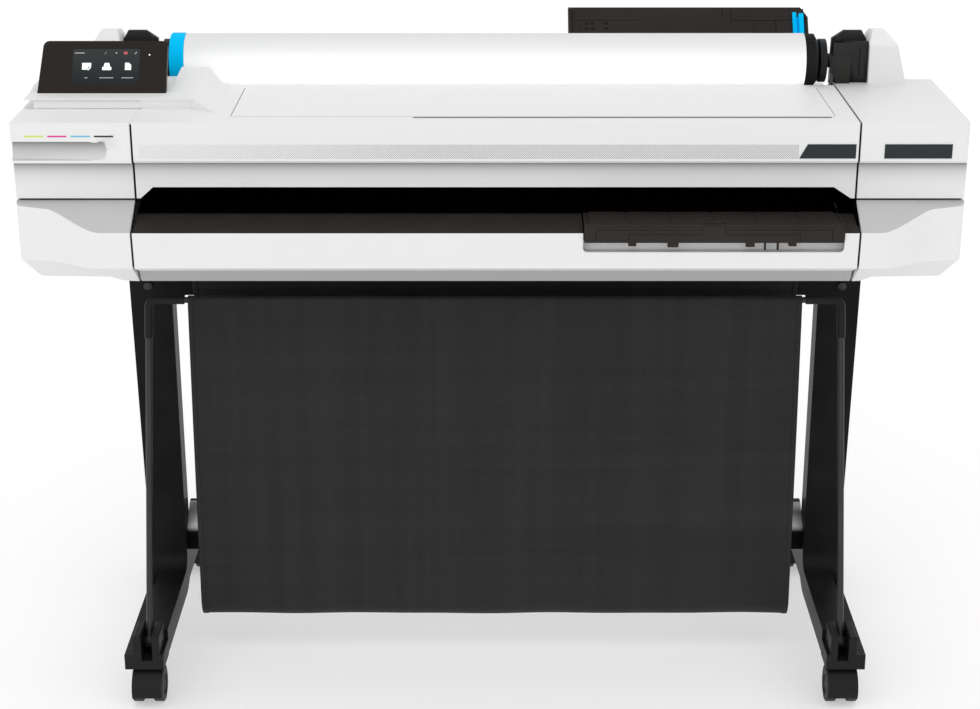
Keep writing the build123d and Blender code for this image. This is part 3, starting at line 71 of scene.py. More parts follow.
# ---------------------------------------------------------------- node materials
class Surface:
    """A Principled material with short calls for the noise, ramps and bumps that the finishes share."""

    def __init__(self, material):
        """A new material under this name, or more nodes for a finished one."""
        if isinstance(material, str):
            material = bpy.data.materials.new(material)
            material.use_nodes = True
        self.material = material
        self.nodes = self.material.node_tree.nodes
        self.links = self.material.node_tree.links
        self.bsdf = self.nodes["Principled BSDF"]
        self.place = self.add("ShaderNodeTexCoord").outputs["Object"]

    def add(self, kind, **settings):
        node = self.nodes.new(kind)
        for key, value in settings.items():
            setattr(node, key, value)
        return node

    def feed(self, socket, value):
        if isinstance(value, bpy.types.NodeSocket):
            self.links.new(value, socket)
        elif isinstance(value, (tuple, list)) and len(value) == 3 and socket.type == "RGBA":
            socket.default_value = (*value, 1)
        else:
            socket.default_value = value

    def noise(self, size, detail=2.0, stretch=(1, 1, 1), roughness=0.5):
        """Noise whose features are about size metres across, longer along an axis with a small stretch."""
        scale = self.add("ShaderNodeMapping")
        scale.inputs["Scale"].default_value = stretch
        self.links.new(self.place, scale.inputs["Vector"])
        node = self.add("ShaderNodeTexNoise")
        self.links.new(scale.outputs["Vector"], node.inputs["Vector"])
        node.inputs["Scale"].default_value = 1 / size
        node.inputs["Detail"].default_value = detail
        node.inputs["Roughness"].default_value = roughness
        return node.outputs["Fac"]

    def span(self, value, low, high, source=(0.3, 0.7)):
        """Maps the source range to low..high, and clamps it there."""
        node = self.add("ShaderNodeMapRange")
        self.feed(node.inputs["Value"], value)
        node.inputs["From Min"].default_value = source[0]
        node.inputs["From Max"].default_value = source[1]
        node.inputs["To Min"].default_value = low
        node.inputs["To Max"].default_value = high
        return node.outputs["Result"]

    def math(self, operation, first, second=0.0):
        node = self.add("ShaderNodeMath", operation=operation)
        self.feed(node.inputs[0], first)
        self.feed(node.inputs[1], second)
        return node.outputs[0]

    def blend(self, share, first, second):
        """A colour between two."""
        node = self.add("ShaderNodeMix", data_type="RGBA")
        self.feed(node.inputs["Factor"], share)
        self.feed(node.inputs[6], first)
        self.feed(node.inputs[7], second)
        return node.outputs[2]

    def bump(self, height, depth, under=None):
        """A bump of the given depth in metres, on top of another one."""
        node = self.add("ShaderNodeBump")
        node.inputs["Strength"].default_value = 1.0
        node.inputs["Distance"].default_value = depth
        self.feed(node.inputs["Height"], height)
        if under is not None:
            self.links.new(under, node.inputs["Normal"])
        return node.outputs["Normal"]

    def axis(self, index):
        """One coordinate of the object's own position."""
        node = self.add("ShaderNodeSeparateXYZ")
        self.links.new(self.place, node.inputs[0])
        return node.outputs[index]

    def facing(self, index=2):
        """One part of the surface's normal: how far it faces up, by default."""
        node = self.add("ShaderNodeSeparateXYZ")
        self.links.new(self.add("ShaderNodeNewGeometry").outputs["Normal"], node.inputs[0])
        return node.outputs[index]

    def within(self, index, low, high, soft=0.3 * MM):
        """One between two values of a coordinate, zero outside them."""
        rise = self.span(self.axis(index), 0, 1, (low - soft, low + soft))
        fall = self.span(self.axis(index), 1, 0, (high - soft, high + soft))
        return self.math("MULTIPLY", rise, fall)

    def below(self, edge, reach, depth):
        """How dark it is under an overhang: depth at its edge, dying away downwards over about reach."""
        down = self.math("DIVIDE", self.math("SUBTRACT", self.axis(2), edge), reach)
        return self.math("MULTIPLY", self.math("POWER", EULER, down), depth)

    def darken(self, *shares):
        """Takes the base colour towards black by the sum of some shares."""
        total = 0.0
        for share in shares:
            total = self.math("ADD", total, share)
        total = self.math("MINIMUM", total, 0.97)
        colour = self.bsdf.inputs["Base Color"].links[0].from_socket
        return self.set(colour=self.blend(total, colour, (0.0, 0.0, 0.0)))

    def set(self, **values):
        """Sets or links inputs of the shader, and hands back the material."""
        names = {
            "colour": "Base Color", "roughness": "Roughness", "metallic": "Metallic", "normal": "Normal",
            "specular": "Specular IOR Level", "sheen": "Sheen Weight", "sheen_roughness": "Sheen Roughness",
            "emission": "Emission Color", "glow": "Emission Strength",
        }
        for key, value in values.items():
            self.feed(self.bsdf.inputs[names[key]], value)
        return self.material


def moulded(name, colour, rough, grain=0.5, depth=0.012, tone=0.03, specular=0.45, painted_shade_inside=None):
    """Moulded plastic: spark-eroded grain, faint flow marks, and small smears in its gloss.

    The last argument is the y behind which the part is painted black and loses its gloss: a painted shade
    for the unlit back of a paper path.
    """
    s = Surface(name)
    fine = s.noise(grain * MM, 1.5)
    broad = s.noise(90 * MM, 3)
    smear = s.noise(14 * MM, 4, (1, 1, 0.35))
    darker = tuple(c * (1 - tone) for c in colour)
    shade = s.blend(s.span(broad, 0, 1), colour, darker)
    flecked = s.blend(s.span(fine, 0, 0.25), shade, tuple(c * 0.93 for c in colour))
    finish = s.math("ADD", s.span(smear, rough - 0.05, rough + 0.06), s.span(fine, -0.03, 0.03))
    relief = s.bump(fine, depth * MM)
    if painted_shade_inside is not None:
        # painted shade: black colour and no gloss behind the given y
        deep = s.span(s.axis(1), 0, 1, (painted_shade_inside - 2 * MM, painted_shade_inside + 3 * MM))
        flecked = s.blend(deep, flecked, (0.0006, 0.0006, 0.0006))
        specular = s.math("MULTIPLY", s.math("SUBTRACT", 1.0, deep), specular)
    relief = s.bump(broad, 0.02 * MM, relief)
    return s.set(colour=flecked, roughness=finish, normal=relief, specular=specular)


def powder_coat(name, colour, rough, specular=0.2, load=0.06):
    """Satin powder coat on steel: orange peel, small nibs and a load of dust that settles on top faces."""
    s = Surface(name)
    peel = s.noise(1.6 * MM, 2)
    nibs = s.noise(0.35 * MM, 1)
    broad = s.noise(60 * MM, 4)
    dust = s.math("MULTIPLY", s.span(s.facing(), 0, 0.16, (0.2, 1.0)), s.span(broad, 0.2, 1))
    worn = s.blend(s.span(broad, 0, 1), colour, tuple(c * 1.5 + 0.003 for c in colour))
    dusty = s.blend(s.math("MULTIPLY", dust, load), worn, (0.35, 0.34, 0.33))
    relief = s.bump(nibs, 0.006 * MM, s.bump(peel, 0.02 * MM))
    return s.set(colour=dusty, roughness=s.span(peel, rough - 0.05, rough + 0.07), normal=relief,
                 specular=specular)


def brushed(name, colour, rough, along=0):
    """Turned or brushed metal with fine lines across its length and a few dull patches."""
    s = Surface(name)
    stretch = [1.0, 1.0, 1.0]
    stretch[along] = 40.0
    lines = s.noise(8 * MM, 3, stretch)
    patches = s.noise(40 * MM, 3)
    shade = s.blend(s.span(lines, 0, 1), colour, tuple(c * 0.72 for c in colour))
    finish = s.math("ADD", s.span(lines, rough - 0.06, rough + 0.08), s.span(patches, 0, 0.08))
    return s.set(colour=shade, metallic=1.0, roughness=finish, normal=s.bump(lines, 0.01 * MM))


def rubber(name, colour):
    """Matt rubber with a dusty bloom and fine pores."""
    s = Surface(name)
    pores = s.noise(0.5 * MM, 3)
    bloom = s.noise(18 * MM, 4)
    shade = s.blend(s.span(bloom, 0, 1), colour, tuple(c * 1.8 + 0.012 for c in colour))
    return s.set(colour=shade, roughness=s.span(bloom, 0.62, 0.85), normal=s.bump(pores, 0.03 * MM))


def paper(name):
    """Coated white paper: very fine fibre tooth, faint rings of the winding, and a soft gloss, with painted
    shade on the faces that look up and a painted glow on those that look to the front and down.
    """
    s = Surface(name)
    fibre = s.noise(0.7 * MM, 5, (1, 1, 1), 0.65)
    bands = s.noise(55 * MM, 2, (1, 0.05, 0.05))
    shade = s.blend(s.span(fibre, 0, 0.5), (0.93, 0.93, 0.935), (0.90, 0.90, 0.91))
    relief = s.bump(bands, 0.05 * MM, s.bump(fibre, 0.01 * MM))
    facing = s.facing()
    # painted shade: faces that look up are taken darker
    shade = s.blend(s.span(facing, 0, 1, (0.2, 1.0)), shade, (0.72, 0.725, 0.725))
    # painted light: the emission glows most on faces that look down and fades out on those that look up
    return s.set(colour=shade, roughness=s.span(bands, 0.5, 0.6), normal=relief, specular=0.25,
                 emission=shade, glow=s.span(facing, 0.36, 0.0, (-0.4, 0.7)))


def woven_cloth(name):
    """Coated mesh cloth: warp and weft threads with dark holes between them, slubs and faint bands."""
    s = Surface(name)
    pitch = 4.4 * MM
    across = s.add("ShaderNodeAttribute", attribute_name="weave")
    split = s.add("ShaderNodeSeparateXYZ")
    s.links.new(across.outputs["Vector"], split.inputs[0])
    wave = []
    for index in (0, 1):
        turns = s.math("MULTIPLY", split.outputs[index], 2 * pi / pitch)
        wave.append(s.math("SINE", turns))
    product = s.math("MULTIPLY", wave[0], wave[1])
    over = s.span(product, 0, 1, (-0.6, 0.6))
    ridges = s.math("ADD", s.math("ABSOLUTE", wave[0]), s.math("ABSOLUTE", wave[1]))
    warp = s.noise(3 * MM, 2, (1, 0.02, 0.02))
    weft = s.noise(3 * MM, 2, (0.02, 0.02, 1))
    broad = s.noise(70 * MM, 3)
    threads = s.math("ADD", s.math("MULTIPLY", warp, 0.5), s.math("MULTIPLY", weft, 0.5))
    tone = s.blend(s.span(threads, 0, 1, (0.35, 0.65)), (0.0105, 0.0105, 0.0105), (0.0185, 0.0185, 0.0185))
    upright, level = s.noise(26 * MM, 2, (1, 0.03, 0.03)), s.noise(26 * MM, 2, (0.03, 0.03, 1))
    bands = s.math("ADD", upright, level)
    shown = s.span(bands, 0.42, 0.8, (0.8, 1.25))
    lit = s.blend(s.math("MULTIPLY", over, shown), tone, (0.042, 0.042, 0.042))
    relief = s.bump(s.math("ADD", over, ridges), 0.18 * MM, s.bump(broad, 1.2 * MM))
    return s.set(colour=lit, roughness=s.span(threads, 0.62, 0.8), normal=relief, sheen=0.03,
                 sheen_roughness=0.4, specular=0.16)


def gloss_black(name):
    """Piano-black plastic with a faint brown cast, dust specks and wiping marks in its gloss."""
    s = Surface(name)
    wipe = s.noise(9 * MM, 4, (0.25, 1, 1))
    specks = s.noise(0.6 * MM, 1)
    shade = s.blend(s.span(specks, 0, 0.2, (0.66, 0.75)), (0.0165, 0.013, 0.0115), (0.05, 0.05, 0.05))
    return s.set(colour=shade, roughness=s.span(wipe, 0.3, 0.42), specular=0.12,
                 normal=s.bump(specks, 0.002 * MM))


def screen(name):
    """The lit display under its glass: a deep grey that is a little bluer and lighter towards the top."""
    s = Surface(name)
    low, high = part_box("touchscreen")
    height = s.span(s.axis(2), 0, 1, (low.z, high.z))
    cells = s.noise(0.4 * MM, 1)
    shade = s.blend(height, (0.012, 0.014, 0.015), (0.030, 0.033, 0.034))
    return s.set(colour=shade, roughness=0.3, emission=shade, glow=s.span(cells, 0.2, 0.3), specular=0.1)


def tint(name, colour, rough=0.4, glow=0.0):
    """Printed or lit marks: an even colour with the slight tooth of screen printing."""
    s = Surface(name)
    tooth = s.noise(0.3 * MM, 2)
    shade = s.blend(s.span(tooth, 0, 0.3), colour, tuple(c * 0.85 for c in colour))
    if glow:
        s.set(emission=shade, glow=glow)
    finish = s.span(tooth, rough - 0.04, rough + 0.04)
    return s.set(colour=shade, roughness=finish, normal=s.bump(tooth, 0.004 * MM))


def shell_white(name):
    """The white housings, with the soft shading that gathers under their lip, steps and finger grip."""
    s = Surface(moulded(name, (0.80, 0.805, 0.80), 0.5, 0.45, 0.010, 0.012, 0.3))
    lip, bulge, grip = DECK_TOP - LIP_DROP, DECK_TOP - BULGE_DROP, DECK_TOP - GRIP_DROP
    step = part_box("left_upper_housing")[0].z

    def zone(low, high, near, far):
        """One between two heights, and between two depths behind the front."""
        return s.math("MULTIPLY", s.within(2, low, high), s.within(1, FRONT + near * MM, FRONT + far * MM))

    under_lip = s.math("MULTIPLY", zone(step, lip, 4, 12), s.below(lip, 12 * MM, 0.74))
    ledge = s.math("ADD", s.below(step, 3 * MM, 0.4), 0.33)
    on_ledge = s.math("MULTIPLY", zone(bulge - 2 * MM, step - MM, -60, 9), ledge)
    on_ledge = s.math("MULTIPLY", on_ledge, s.span(s.facing(), 0, 1, (0.5, 0.75)))
    hollow = s.math("MULTIPLY", zone(lip, grip, 0.5, 8), s.below(grip, 18 * MM, 0.72))
    hollow = s.math("MULTIPLY", hollow, s.span(s.axis(0), 1, 0, (GRIP_END, GRIP_END + 5 * MM)))
    return s.darken(under_lip, on_ledge, hollow)


def deck_white(name):
    """The same white, with painted shade: nearly black where a groove of the deck opens into the machine.
    """
    s = Surface(shell_white(name))
    # painted shade over the groove of the deck and the faces behind it
    painted_shade_inside = s.math("MULTIPLY", s.within(2, DECK_TOP - 53 * MM, DECK_TOP - 1.6 * MM),
                    s.within(1, FRONT + 3.6 * MM, FRONT + 228 * MM))
    return s.darken(s.math("MULTIPLY", painted_shade_inside, 0.97))


def sloped_coat(name):
    """Black coat whose sloping top carries a painted sheen: a lighter grey, partly metallic painted
    highlight on faces that tilt upwards.
    """
    s = Surface(powder_coat(name, (0.0025, 0.0025, 0.0025), 0.4, 0.05, 0.3))
    facing = s.facing()
    # painted highlight: faces that tilt upwards turn lighter grey and metallic
    sheen = s.math("MULTIPLY", s.span(facing, 0, 1, (0.3, 0.5)), s.span(facing, 1, 0, (0.9, 0.97)))
    colour = s.bsdf.inputs["Base Color"].links[0].from_socket
    return s.set(colour=s.blend(sheen, colour, (0.42, 0.42, 0.42)), metallic=sheen)


WHITE = shell_white("white_shell")
DECK = deck_white("white_deck")
UNDERSIDE = moulded("grey_underside", (0.40, 0.40, 0.40), 0.55)
DARK = moulded("dark_brown_plastic", (0.0255, 0.0205, 0.019), 0.5, 0.6, 0.02, 0.2, 0.12)
# the paper path's plastic is painted black from 7 mm behind the front: painted shade for its unlit back
SLOT = moulded("paper_path_plastic", (0.030, 0.0245, 0.0225), 0.5, 0.6, 0.02, 0.2, 0.12, FRONT + 7 * MM)
BLACK = moulded("black_plastic", (0.012, 0.012, 0.0122), 0.48, 0.6, 0.02, 0.2, 0.16)
BLUE = moulded("blue_plastic", (0.0, 0.56, 1.0), 0.5, 0.5, 0.008, 0.05, 0.03)
REST = moulded("rest_plastic", (0.022, 0.021, 0.020), 0.45, 0.6, 0.02, 0.2, 0.2)
DISPLAY = gloss_black("display_black")
GLASS = screen("lit_screen")
SLATE = moulded("slate_plate", (0.030, 0.038, 0.041), 0.5, 0.5, 0.01, 0.08, 0.1)
COAT = powder_coat("stand_powder_coat", (0.0056, 0.0056, 0.006), 0.4, 0.08, 0.03)
BRACE = sloped_coat("brace_powder_coat")
ROD = powder_coat("rod_coat", (0.012, 0.012, 0.0125), 0.34, 0.4)
STEEL = brushed("brushed_steel", (0.55, 0.55, 0.56), 0.28)
PLATE = brushed("zinc_plate", (0.42, 0.42, 0.41), 0.42)
ALLOY = brushed("turned_alloy", (0.7, 0.7, 0.72), 0.25, 2)
SCREW = brushed("blackened_screw", (0.06, 0.06, 0.06), 0.34)
RUBBER = rubber("rubber", (0.013, 0.013, 0.013))
TYRE = rubber("castor_tread", (0.016, 0.016, 0.017))
PAPER = paper("coated_paper")
CLOTH = woven_cloth("basket_cloth")
CASE = powder_coat("motor_case", (0.06, 0.06, 0.065), 0.4)
INKS = [
    tint("ink_yellow", (0.62, 0.76, 0.12)), tint("ink_magenta", (0.70, 0.05, 0.27)),
    tint("ink_cyan", (0.16, 0.50, 0.66)), tint("ink_black", (0.016, 0.016, 0.018)),
]
DOTS = tint("printed_dots", (0.34, 0.345, 0.35))
LIT = tint("lit_marks", (0.75, 0.88, 0.86), 0.3, 0.75)
DIM = tint("dim_marks", (0.35, 0.37, 0.38), 0.3, 0.3)
ALERT = tint("alert_mark", (0.45, 0.07, 0.09), 0.3, 0.25)
THREAD = tint("stitching", (0.035, 0.035, 0.036), 0.7)

CASTORS = [f"castor_{end}_{side}" for end in ("front", "rear") for side in ("left", "right")]
FINISH = {
    WHITE: ["left_wing", "right_wing", "lower_front_panel", "left_upper_housing", "right_upper_housing",
            "ink_door", "rear_panel", "spindle_houses", "control_platform"],
    DECK: ["front_fascia", "top_lid", "roll_bed"],
    UNDERSIDE: ["base_tray"],
    DARK: ["sheet_feeder", "feeder_extension", "service_station", "carriage", "cartridge_bay"],
    SLOT: ["output_platen", "output_tray", "tray_extension"],
    REST: ["spindle_brackets"],
    BLACK: ["foot_caps", "basket_elbows", "knurled_hub", "spindle", "ink_cartridges"]
           + [castor + "_hood" for castor in CASTORS],
    BLUE: ["blue_hub", "paper_guide"],
    DISPLAY: ["display_housing"],
    GLASS: ["touchscreen"],
    SLATE: ["fascia_plates"],
    COAT: ["left_leg", "right_leg", "stand_top_beam"],
    BRACE: ["cross_brace"],
    ROD: ["basket_arms", "basket_front_bar", "basket_rear_bar"],
    STEEL: ["guide_rail", "feed_roller"],
    PLATE: ["chassis"],
    ALLOY: ["motor_pulley", "idler_pulley"],
    SCREW: ["stand_bolts"],
    RUBBER: ["drive_belt", "pinch_rollers"],
    TYRE: [castor + "_wheels" for castor in CASTORS],
    PAPER: ["paper_roll"],
    CASE: ["carriage_motor", "power_supply"],
}
# how far the edges of each material are rounded, in mm
SOFT = {
    WHITE: 1.4, DECK: 0.7, DARK: 0.7, SLOT: 0.5, BLACK: 0.7, DISPLAY: 1.2, COAT: 1.2, UNDERSIDE: 1.2,
    BLUE: 0.8,
}


def finish_nodes():
    """Gives every CAD node its material, joined corners, softly rounded edges and smooth curves."""
    for material, names in FINISH.items():
        for name in names:
            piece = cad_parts[name]
            piece.data.materials.clear()
            piece.data.materials.append(material)
            weld = piece.modifiers.new("weld", "WELD")
            weld.merge_threshold = 0.01 * MM
            if material in SOFT:
                round_off = piece.modifiers.new("round", "BEVEL")
                round_off.width = SOFT[material] * MM
                round_off.segments = 3
                round_off.limit_method = "ANGLE"
                round_off.angle_limit = radians(32)
                round_off.use_clamp_overlap = True
                round_off.harden_normals = False
            smooth = piece.modifiers.new("weighted", "WEIGHTED_NORMAL")
            smooth.keep_sharp = True
            for face in piece.data.polygons:
                face.use_smooth = True


finish_nodes()


# ---------------------------------------------------------------- printed and lit marks
def mesh_piece(name, points, faces, material, smooth=False):
    """A new mesh object in the scene, made from points in metres."""
    mesh = bpy.data.meshes.new(name)
    mesh.from_pydata(points, [], faces)
    mesh.materials.append(material)
    if smooth:
        mesh.shade_smooth()
    piece = bpy.data.objects.new(name, mesh)
    bpy.context.scene.collection.objects.link(piece)
    return piece


def marks(name, outlines, origin, right, up, height, material, body):
    """Thin raised marks on a plane, each an anticlockwise loop of (along, up) points in metres."""
    right, up = Vector(right), Vector(up)
    out = right.cross(up)
    points, faces = [], []
    for outline in outlines:
        first, count = len(points), len(outline)
        for level in (-0.5 * height, height):
            points += [Vector(origin) + right * u + up * v + out * level for u, v in outline]
        faces.append(tuple(first + count + i for i in range(count)))
        faces.append(tuple(first + i for i in reversed(range(count))))
        for i in range(count):
            j = (i + 1) % count
            faces.append((first + i, first + j, first + count + j, first + count + i))
    piece = mesh_piece(name, points, faces, material)
    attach(piece, body)
    return piece


def bar(u, v, wide, tall, round_end=0.0):
    """A bar around (u, v), its corners rounded by a share of its height."""
    radius = max(round_end * tall, 1e-6)
    loop = []
    for turn, (su, sv) in enumerate(((1, 1), (-1, 1), (-1, -1), (1, -1))):
        for step in range(4):
            angle = (turn + step / 3) * pi / 2
            loop.append((u + su * (wide / 2 - radius) + radius * cos(angle),
                         v + sv * (tall / 2 - radius) + radius * sin(angle)))
    return loop


def ring_dot(u, v, radius, corners=8):
    """A dot around (u, v)."""
    turns = [2 * pi * i / corners for i in range(corners)]
    return [(u + radius * cos(a), v + radius * sin(a)) for a in turns]


def ink_dashes():
    """Four dashes on the ink door, one for each ink, and a band of the same colour on each cartridge."""
    low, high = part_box("ink_door")
    dash = bar(0, 0, 26.5 * MM, 2.4 * MM, 0.2)
    for index, ink in enumerate(INKS):
        place = (low.x + (32.2 + 32 * index) * MM, low.y, high.z - 19 * MM)
        marks(f"ink_dash_{index + 1}", [dash], place, RIGHT, UP, 0.08 * MM, ink, "ink_door_leaf")
    low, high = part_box("ink_cartridges")
    pitch = (high.x - low.x - 26 * MM) / 3
    bands = [bar(0, -9 * MM, 18 * MM, 9 * MM, 0.15), bar(0, -74 * MM, 18 * MM, 6 * MM, 0.15)]
    for index, ink in enumerate(INKS):
        place = (low.x + 13 * MM + pitch * index, low.y + 3 * MM, high.z)
        marks(f"cartridge_band_{index + 1}", bands, place, RIGHT, UP, 0.15 * MM, ink, "printer")


def dot_strip():
    """The band of staggered dots along the front, small at the left and growing towards the right."""
    panel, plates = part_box("lower_front_panel"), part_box("fascia_plates")
    start, stop = panel[0].x + 9 * MM, plates[0].x - 2.5 * MM
    bottom, top = plates[0].z, plates[1].z
    pitch = 2.9 * MM
    row_gap = pitch / 2
    columns, rows = int((stop - start) / pitch), int((top - bottom) / row_gap)
    outlines = []
    for row in range(rows + 1):
        for column in range(columns + 1):
            along = (column + 0.5 * (row % 2)) * pitch
            share = min(1.0, along / (stop - start) * 2.2)
            radius = (0.4 + 0.42 * share) * MM
            outlines.append(ring_dot(along, row * row_gap, radius, 6))
    marks("dot_strip", outlines, (start, FRONT, bottom), RIGHT, UP, 0.05 * MM, DOTS, "printer")


def seam_strip():
    """The strip that closes the joint between the left wing and the rear deck, beside the display."""
    near, far, wide, thick = 44.2 * MM, 83 * MM, 2.7 * MM, 0.8 * MM
    loop = [(0, near), (wide, near), (wide, far), (0, far)]
    place = (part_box("roll_bed")[0].x - wide, FRONT, DECK_TOP - thick - 0.1 * MM)
    marks("seam_strip", [loop], place, RIGHT, (0, 1, 0), thick, WHITE, "printer")


def screen_marks():
    """What the display shows: three plain icons with a bar below each, and a row of small marks on top."""
    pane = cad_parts["touchscreen"].data
    normal = Vector(max(pane.polygons, key=lambda f: f.area if f.normal.y < 0 else 0).normal)
    right = Vector((1, 0, 0))
    up = normal.cross(right)
    face = max(v.co.dot(normal) for v in pane.vertices)
    points = [v.co for v in pane.vertices if v.co.dot(normal) > face - 0.1 * MM]
    across, along = [p.dot(right) for p in points], [p.dot(up) for p in points]
    origin = normal * face + right * (min(across) + max(across)) / 2 + up * (min(along) + max(along)) / 2
    half_w = (max(across) - min(across)) / 2
    half_h = (max(along) - min(along)) / 2
    place = (origin, right, up, 0.06 * MM)

    def at(u, v):
        """A point of the display, from -1 to 1 each way."""
        return u * half_w, v * half_h

    def shape(centre, *corners):
        """A loop of corners around a centre, in shares of an icon's half size."""
        return [(centre[0] + a * size, centre[1] + b * size) for a, b in corners]

    size = 6.2 * MM
    centres = [at(-0.58, 0.02), at(0.03, 0.02), at(0.66, 0.02)]
    picture = shape(centres[0], (-1, -0.75), (0.1, -0.75), (0.35, -0.2), (1.05, 0.1), (1.05, 0.85),
                    (-1, 0.85))
    tick = shape(centres[0], (0.2, -0.7), (0.45, -0.95), (1.1, -0.15), (0.9, -0.05), (0.45, -0.6),
                 (0.3, -0.5))
    tray = bar(centres[1][0], centres[1][1] - size * 0.5, size * 2.1, size * 0.75, 0.2)
    sheet = shape(centres[1], (-0.75, -0.05), (0.75, -0.05), (0.5, 0.85), (-0.5, 0.85))
    page = shape(centres[2], (-0.65, -0.85), (0.75, -0.85), (0.75, 0.3), (0.2, 0.9), (-0.65, 0.9))
    marks("screen_icons", [picture, tick, tray, sheet, page], *place, LIT, "printer")
    labels = []
    for (u, v), wide in zip(centres, (4.5, 20, 17)):
        labels.append(bar(u, -0.62 * half_h, wide * MM, 1.1 * MM, 0.3))
    labels.append(bar(-0.8 * half_w, 0.78 * half_h, 14 * MM, 1.3 * MM, 0.3))
    u, v = at(-0.02, 0.78)
    labels.append([(u - 1.6 * MM, v - 1.8 * MM), (u - 0.9 * MM, v - 1.8 * MM), (u + 1.6 * MM, v + 1.8 * MM),
                   (u + 0.9 * MM, v + 1.8 * MM)])
    labels.append(ring_dot(*at(0.3, 0.78), 1.2 * MM))
    u, v = at(0.88, 0.78)
    labels.append([(u - 1.8 * MM, v - 1.6 * MM), (u - 0.9 * MM, v - 2.0 * MM), (u + 2.0 * MM, v + 1.2 * MM),
                   (u + 1.2 * MM, v + 2.0 * MM)])
    marks("screen_labels", labels, *place, DIM, "printer")
    u, v = at(0.58, 0.78)
    marks("screen_alert", [bar(u, v, 5.2 * MM, 4.2 * MM, 0.15)], *place, ALERT, "printer")
    marks("status_light", [ring_dot(half_w + 14 * MM, 0.68 * half_h, 1.1 * MM, 10)], *place, LIT, "printer")


# ---------------------------------------------------------------- cloth basket
def arc(centre, radius, start, stop, steps):
    """Points of an arc in the (y, z) plane, its angles in degrees from +y towards +z."""
    turns = [radians(start + (stop - start) * i / steps) for i in range(steps + 1)]
    return [(centre[0] + radius * cos(a), centre[1] + radius * sin(a)) for a in turns]


def hang(start, stop, belly, run=46):
    """Points between two (y, z) ends, bowed to the front by up to about the belly."""
    points = []
    for i in range(1, run):
        share = i / run
        bow = -belly * sin(pi * share) * (1 - 0.4 * share)
        y = start[0] + (stop[0] - start[0]) * share + bow
        points.append((y, start[1] + (stop[1] - start[1]) * share))
    return points


def basket_profile():
    """The cloth from its front hem over the front bar, down, round the bottom and up to the rear hem."""
    front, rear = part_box("basket_front_bar"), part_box("basket_rear_bar")
    bar_r = (front[1].z - front[0].z) / 2
    front_bar = ((front[0].y + front[1].y) / 2, (front[0].z + front[1].z) / 2)
    rear_bar = (rear[0].y + 8 * MM, (rear[0].z + rear[1].z) / 2)
    front_low, rear_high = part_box("basket_front_panel")[0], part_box("basket_rear_panel")[1]
    wrap = bar_r + 1.0 * MM
    hem = 26 * MM
    curl = 34 * MM
    floor = front_low.z
    down = (front_low.y + curl, floor + curl)
    turned = (rear_high.y - 7 * MM - curl, floor + curl)
    path = [(front_bar[0] + wrap * 0.55, front_bar[1] - hem)]
    path += arc(front_bar, wrap, 0, 182, 12)
    path += hang(path[-1], (front_low.y, floor + curl), 3.0 * MM)
    path += arc(down, curl, 180, 268, 12)
    path += arc(turned, curl, 272, 360, 12)
    path += hang(path[-1], (rear_bar[0] + wrap, rear_bar[1]), 0.0)
    path += arc(rear_bar, wrap, 0, 182, 12)
    path.append((rear_bar[0] - wrap * 0.55, rear_bar[1] - hem))
    return path


def cloth_sheet(name, path, across, thickness, ripple=0.55 * MM):
    """Cloth swept along a (y, z) path over some x values, with a weave coordinate on every point."""
    lengths = [0.0]
    for (y0, z0), (y1, z1) in zip(path, path[1:]):
        lengths.append(lengths[-1] + hypot(y1 - y0, z1 - z0))
    points, faces, weave = [], [], []
    for i, (y, z) in enumerate(path):
        before, after = path[max(i - 1, 0)], path[min(i + 1, len(path) - 1)]
        dy, dz = after[0] - before[0], after[1] - before[1]
        size = hypot(dy, dz) or 1.0
        out = (dz / size, -dy / size)
        share = lengths[i] / lengths[-1]
        for x in across:
            wave = sin(23 * x + 5 * share) + 0.6 * sin(41 * x - 3 + 9 * share)
            wave += 0.4 * sin(9 * x + 17 * share)
            shift = ripple * wave * sin(pi * share) ** 0.7
            points.append((x, y + out[0] * shift, z + out[1] * shift))
            weave.append((x, lengths[i], 0.0))
    wide = len(across)
    for i in range(len(path) - 1):
        for j in range(wide - 1):
            a = i * wide + j
            faces.append((a, a + 1, a + wide + 1, a + wide))
    piece = mesh_piece(name, points, faces, CLOTH, smooth=True)
    data = piece.data.attributes.new("weave", "FLOAT_VECTOR", "POINT")
    data.data.foreach_set("vector", [c for p in weave for c in p])
    shell = piece.modifiers.new("thickness", "SOLIDIFY")
    shell.thickness = thickness
    shell.offset = 0
    return piece


def basket():
    """The hanging cloth: one sheet sewn round both bars, with turned side hems and a row of stitches."""
    path = basket_profile()
    low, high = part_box("basket_front_panel")
    count = 140
    across = [low.x + (high.x - low.x) * i / count for i in range(count + 1)]
    sheet = cloth_sheet("basket_cloth", path, across, 1.1 * MM)
    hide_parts("basket_front_panel", "basket_rear_panel")
    hem_w = 7 * MM
    pieces = [sheet]
    for side, edge in (("left", low.x), ("right", high.x - hem_w)):
        strip = [edge + hem_w * i / 4 for i in range(5)]
        pieces.append(cloth_sheet(f"basket_hem_{side}", path, strip, 2.6 * MM))
    for piece in pieces:
        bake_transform(piece)
    wide = int((high.x - low.x) / MM)
    stitches = [bar(x * MM, 0, 3.6 * MM, 0.5 * MM, 0.4) for x in range(6, wide - 5, 6)]
    front_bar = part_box("basket_front_bar")[0]
    place = (low.x, front_bar.y - 2.2 * MM, front_bar.z - 16 * MM)
    row = marks("hem_stitches", stitches, place, RIGHT, UP, 0.35 * MM, THREAD, "basket_frame")


ink_dashes()
dot_strip()
seam_strip()
screen_marks()
basket()


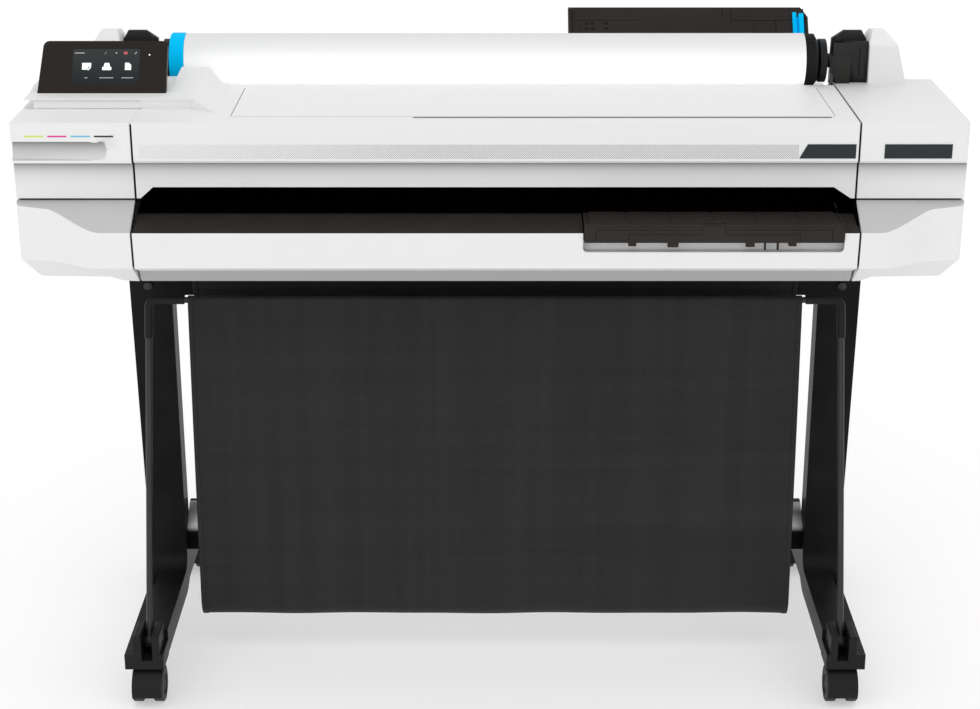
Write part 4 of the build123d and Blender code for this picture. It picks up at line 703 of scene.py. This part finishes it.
# ---------------------------------------------------------------- stage, light and camera
def camera():
    """Looks a little down at the front from eye height."""
    data = bpy.data.cameras.new("view")
    data.sensor_width = 36
    data.lens = FOCAL_LENGTH
    data.shift_x = SIDE_SHIFT
    view = bpy.data.objects.new("view", data)
    view.location = CAMERA_PLACE
    view.rotation_euler = (radians(90 - CAMERA_TILT), 0, 0)
    bpy.context.scene.collection.objects.link(view)
    bpy.context.scene.camera = view


def area_light(name, place, target, size, power):
    """A soft rectangular lamp that points at a target."""
    data = bpy.data.lights.new(name, "AREA")
    data.shape = "RECTANGLE"
    data.size, data.size_y = size
    data.energy = power
    lamp = bpy.data.objects.new(name, data)
    lamp.location = place
    lamp.rotation_euler = (Vector(target) - Vector(place)).to_track_quat("-Z", "Y").to_euler()
    bpy.context.scene.collection.objects.link(lamp)


def studio():
    """A white backdrop, a pale floor and two broad soft lights, one overhead and one in front."""
    world = bpy.data.worlds.new("studio")
    world.use_nodes = True
    tree = world.node_tree
    backdrop = tree.nodes["Background"]
    backdrop.inputs["Color"].default_value = (1, 1, 1, 1)
    backdrop.inputs["Strength"].default_value = 0.95
    seen = tree.nodes.new("ShaderNodeBackground")
    seen.inputs["Color"].default_value = (1, 1, 1, 1)
    seen.inputs["Strength"].default_value = 1.0
    path = tree.nodes.new("ShaderNodeLightPath")
    mix = tree.nodes.new("ShaderNodeMixShader")
    tree.links.new(path.outputs["Is Camera Ray"], mix.inputs[0])
    tree.links.new(backdrop.outputs[0], mix.inputs[1])
    tree.links.new(seen.outputs[0], mix.inputs[2])
    tree.links.new(mix.outputs[0], tree.nodes["World Output"].inputs["Surface"])
    bpy.context.scene.world = world
    area_light("overhead", (0.0, -0.8, 3.2), (0, 0, 0.8), (3.2, 2.2), 6)
    area_light("front", (-1.2, -3.6, 1.9), (0, 0, 0.7), (2.4, 1.8), 10)

    s = Surface("pale_floor")
    mottle = s.noise(0.5, 3)
    pale = s.set(colour=s.blend(mottle, (0.60, 0.60, 0.60), (0.63, 0.63, 0.63)),
                 roughness=s.span(mottle, 0.7, 0.8), emission=(1.0, 1.0, 1.0), glow=0.4)
    reach = 12.0
    corners = [(-reach, -reach, 0), (reach, -reach, 0), (reach, reach, 0), (-reach, reach, 0)]
    mesh_piece("floor", corners, [(0, 1, 2, 3)], pale)
    bpy.context.scene.view_settings.view_transform = "Standard"


studio()
camera()
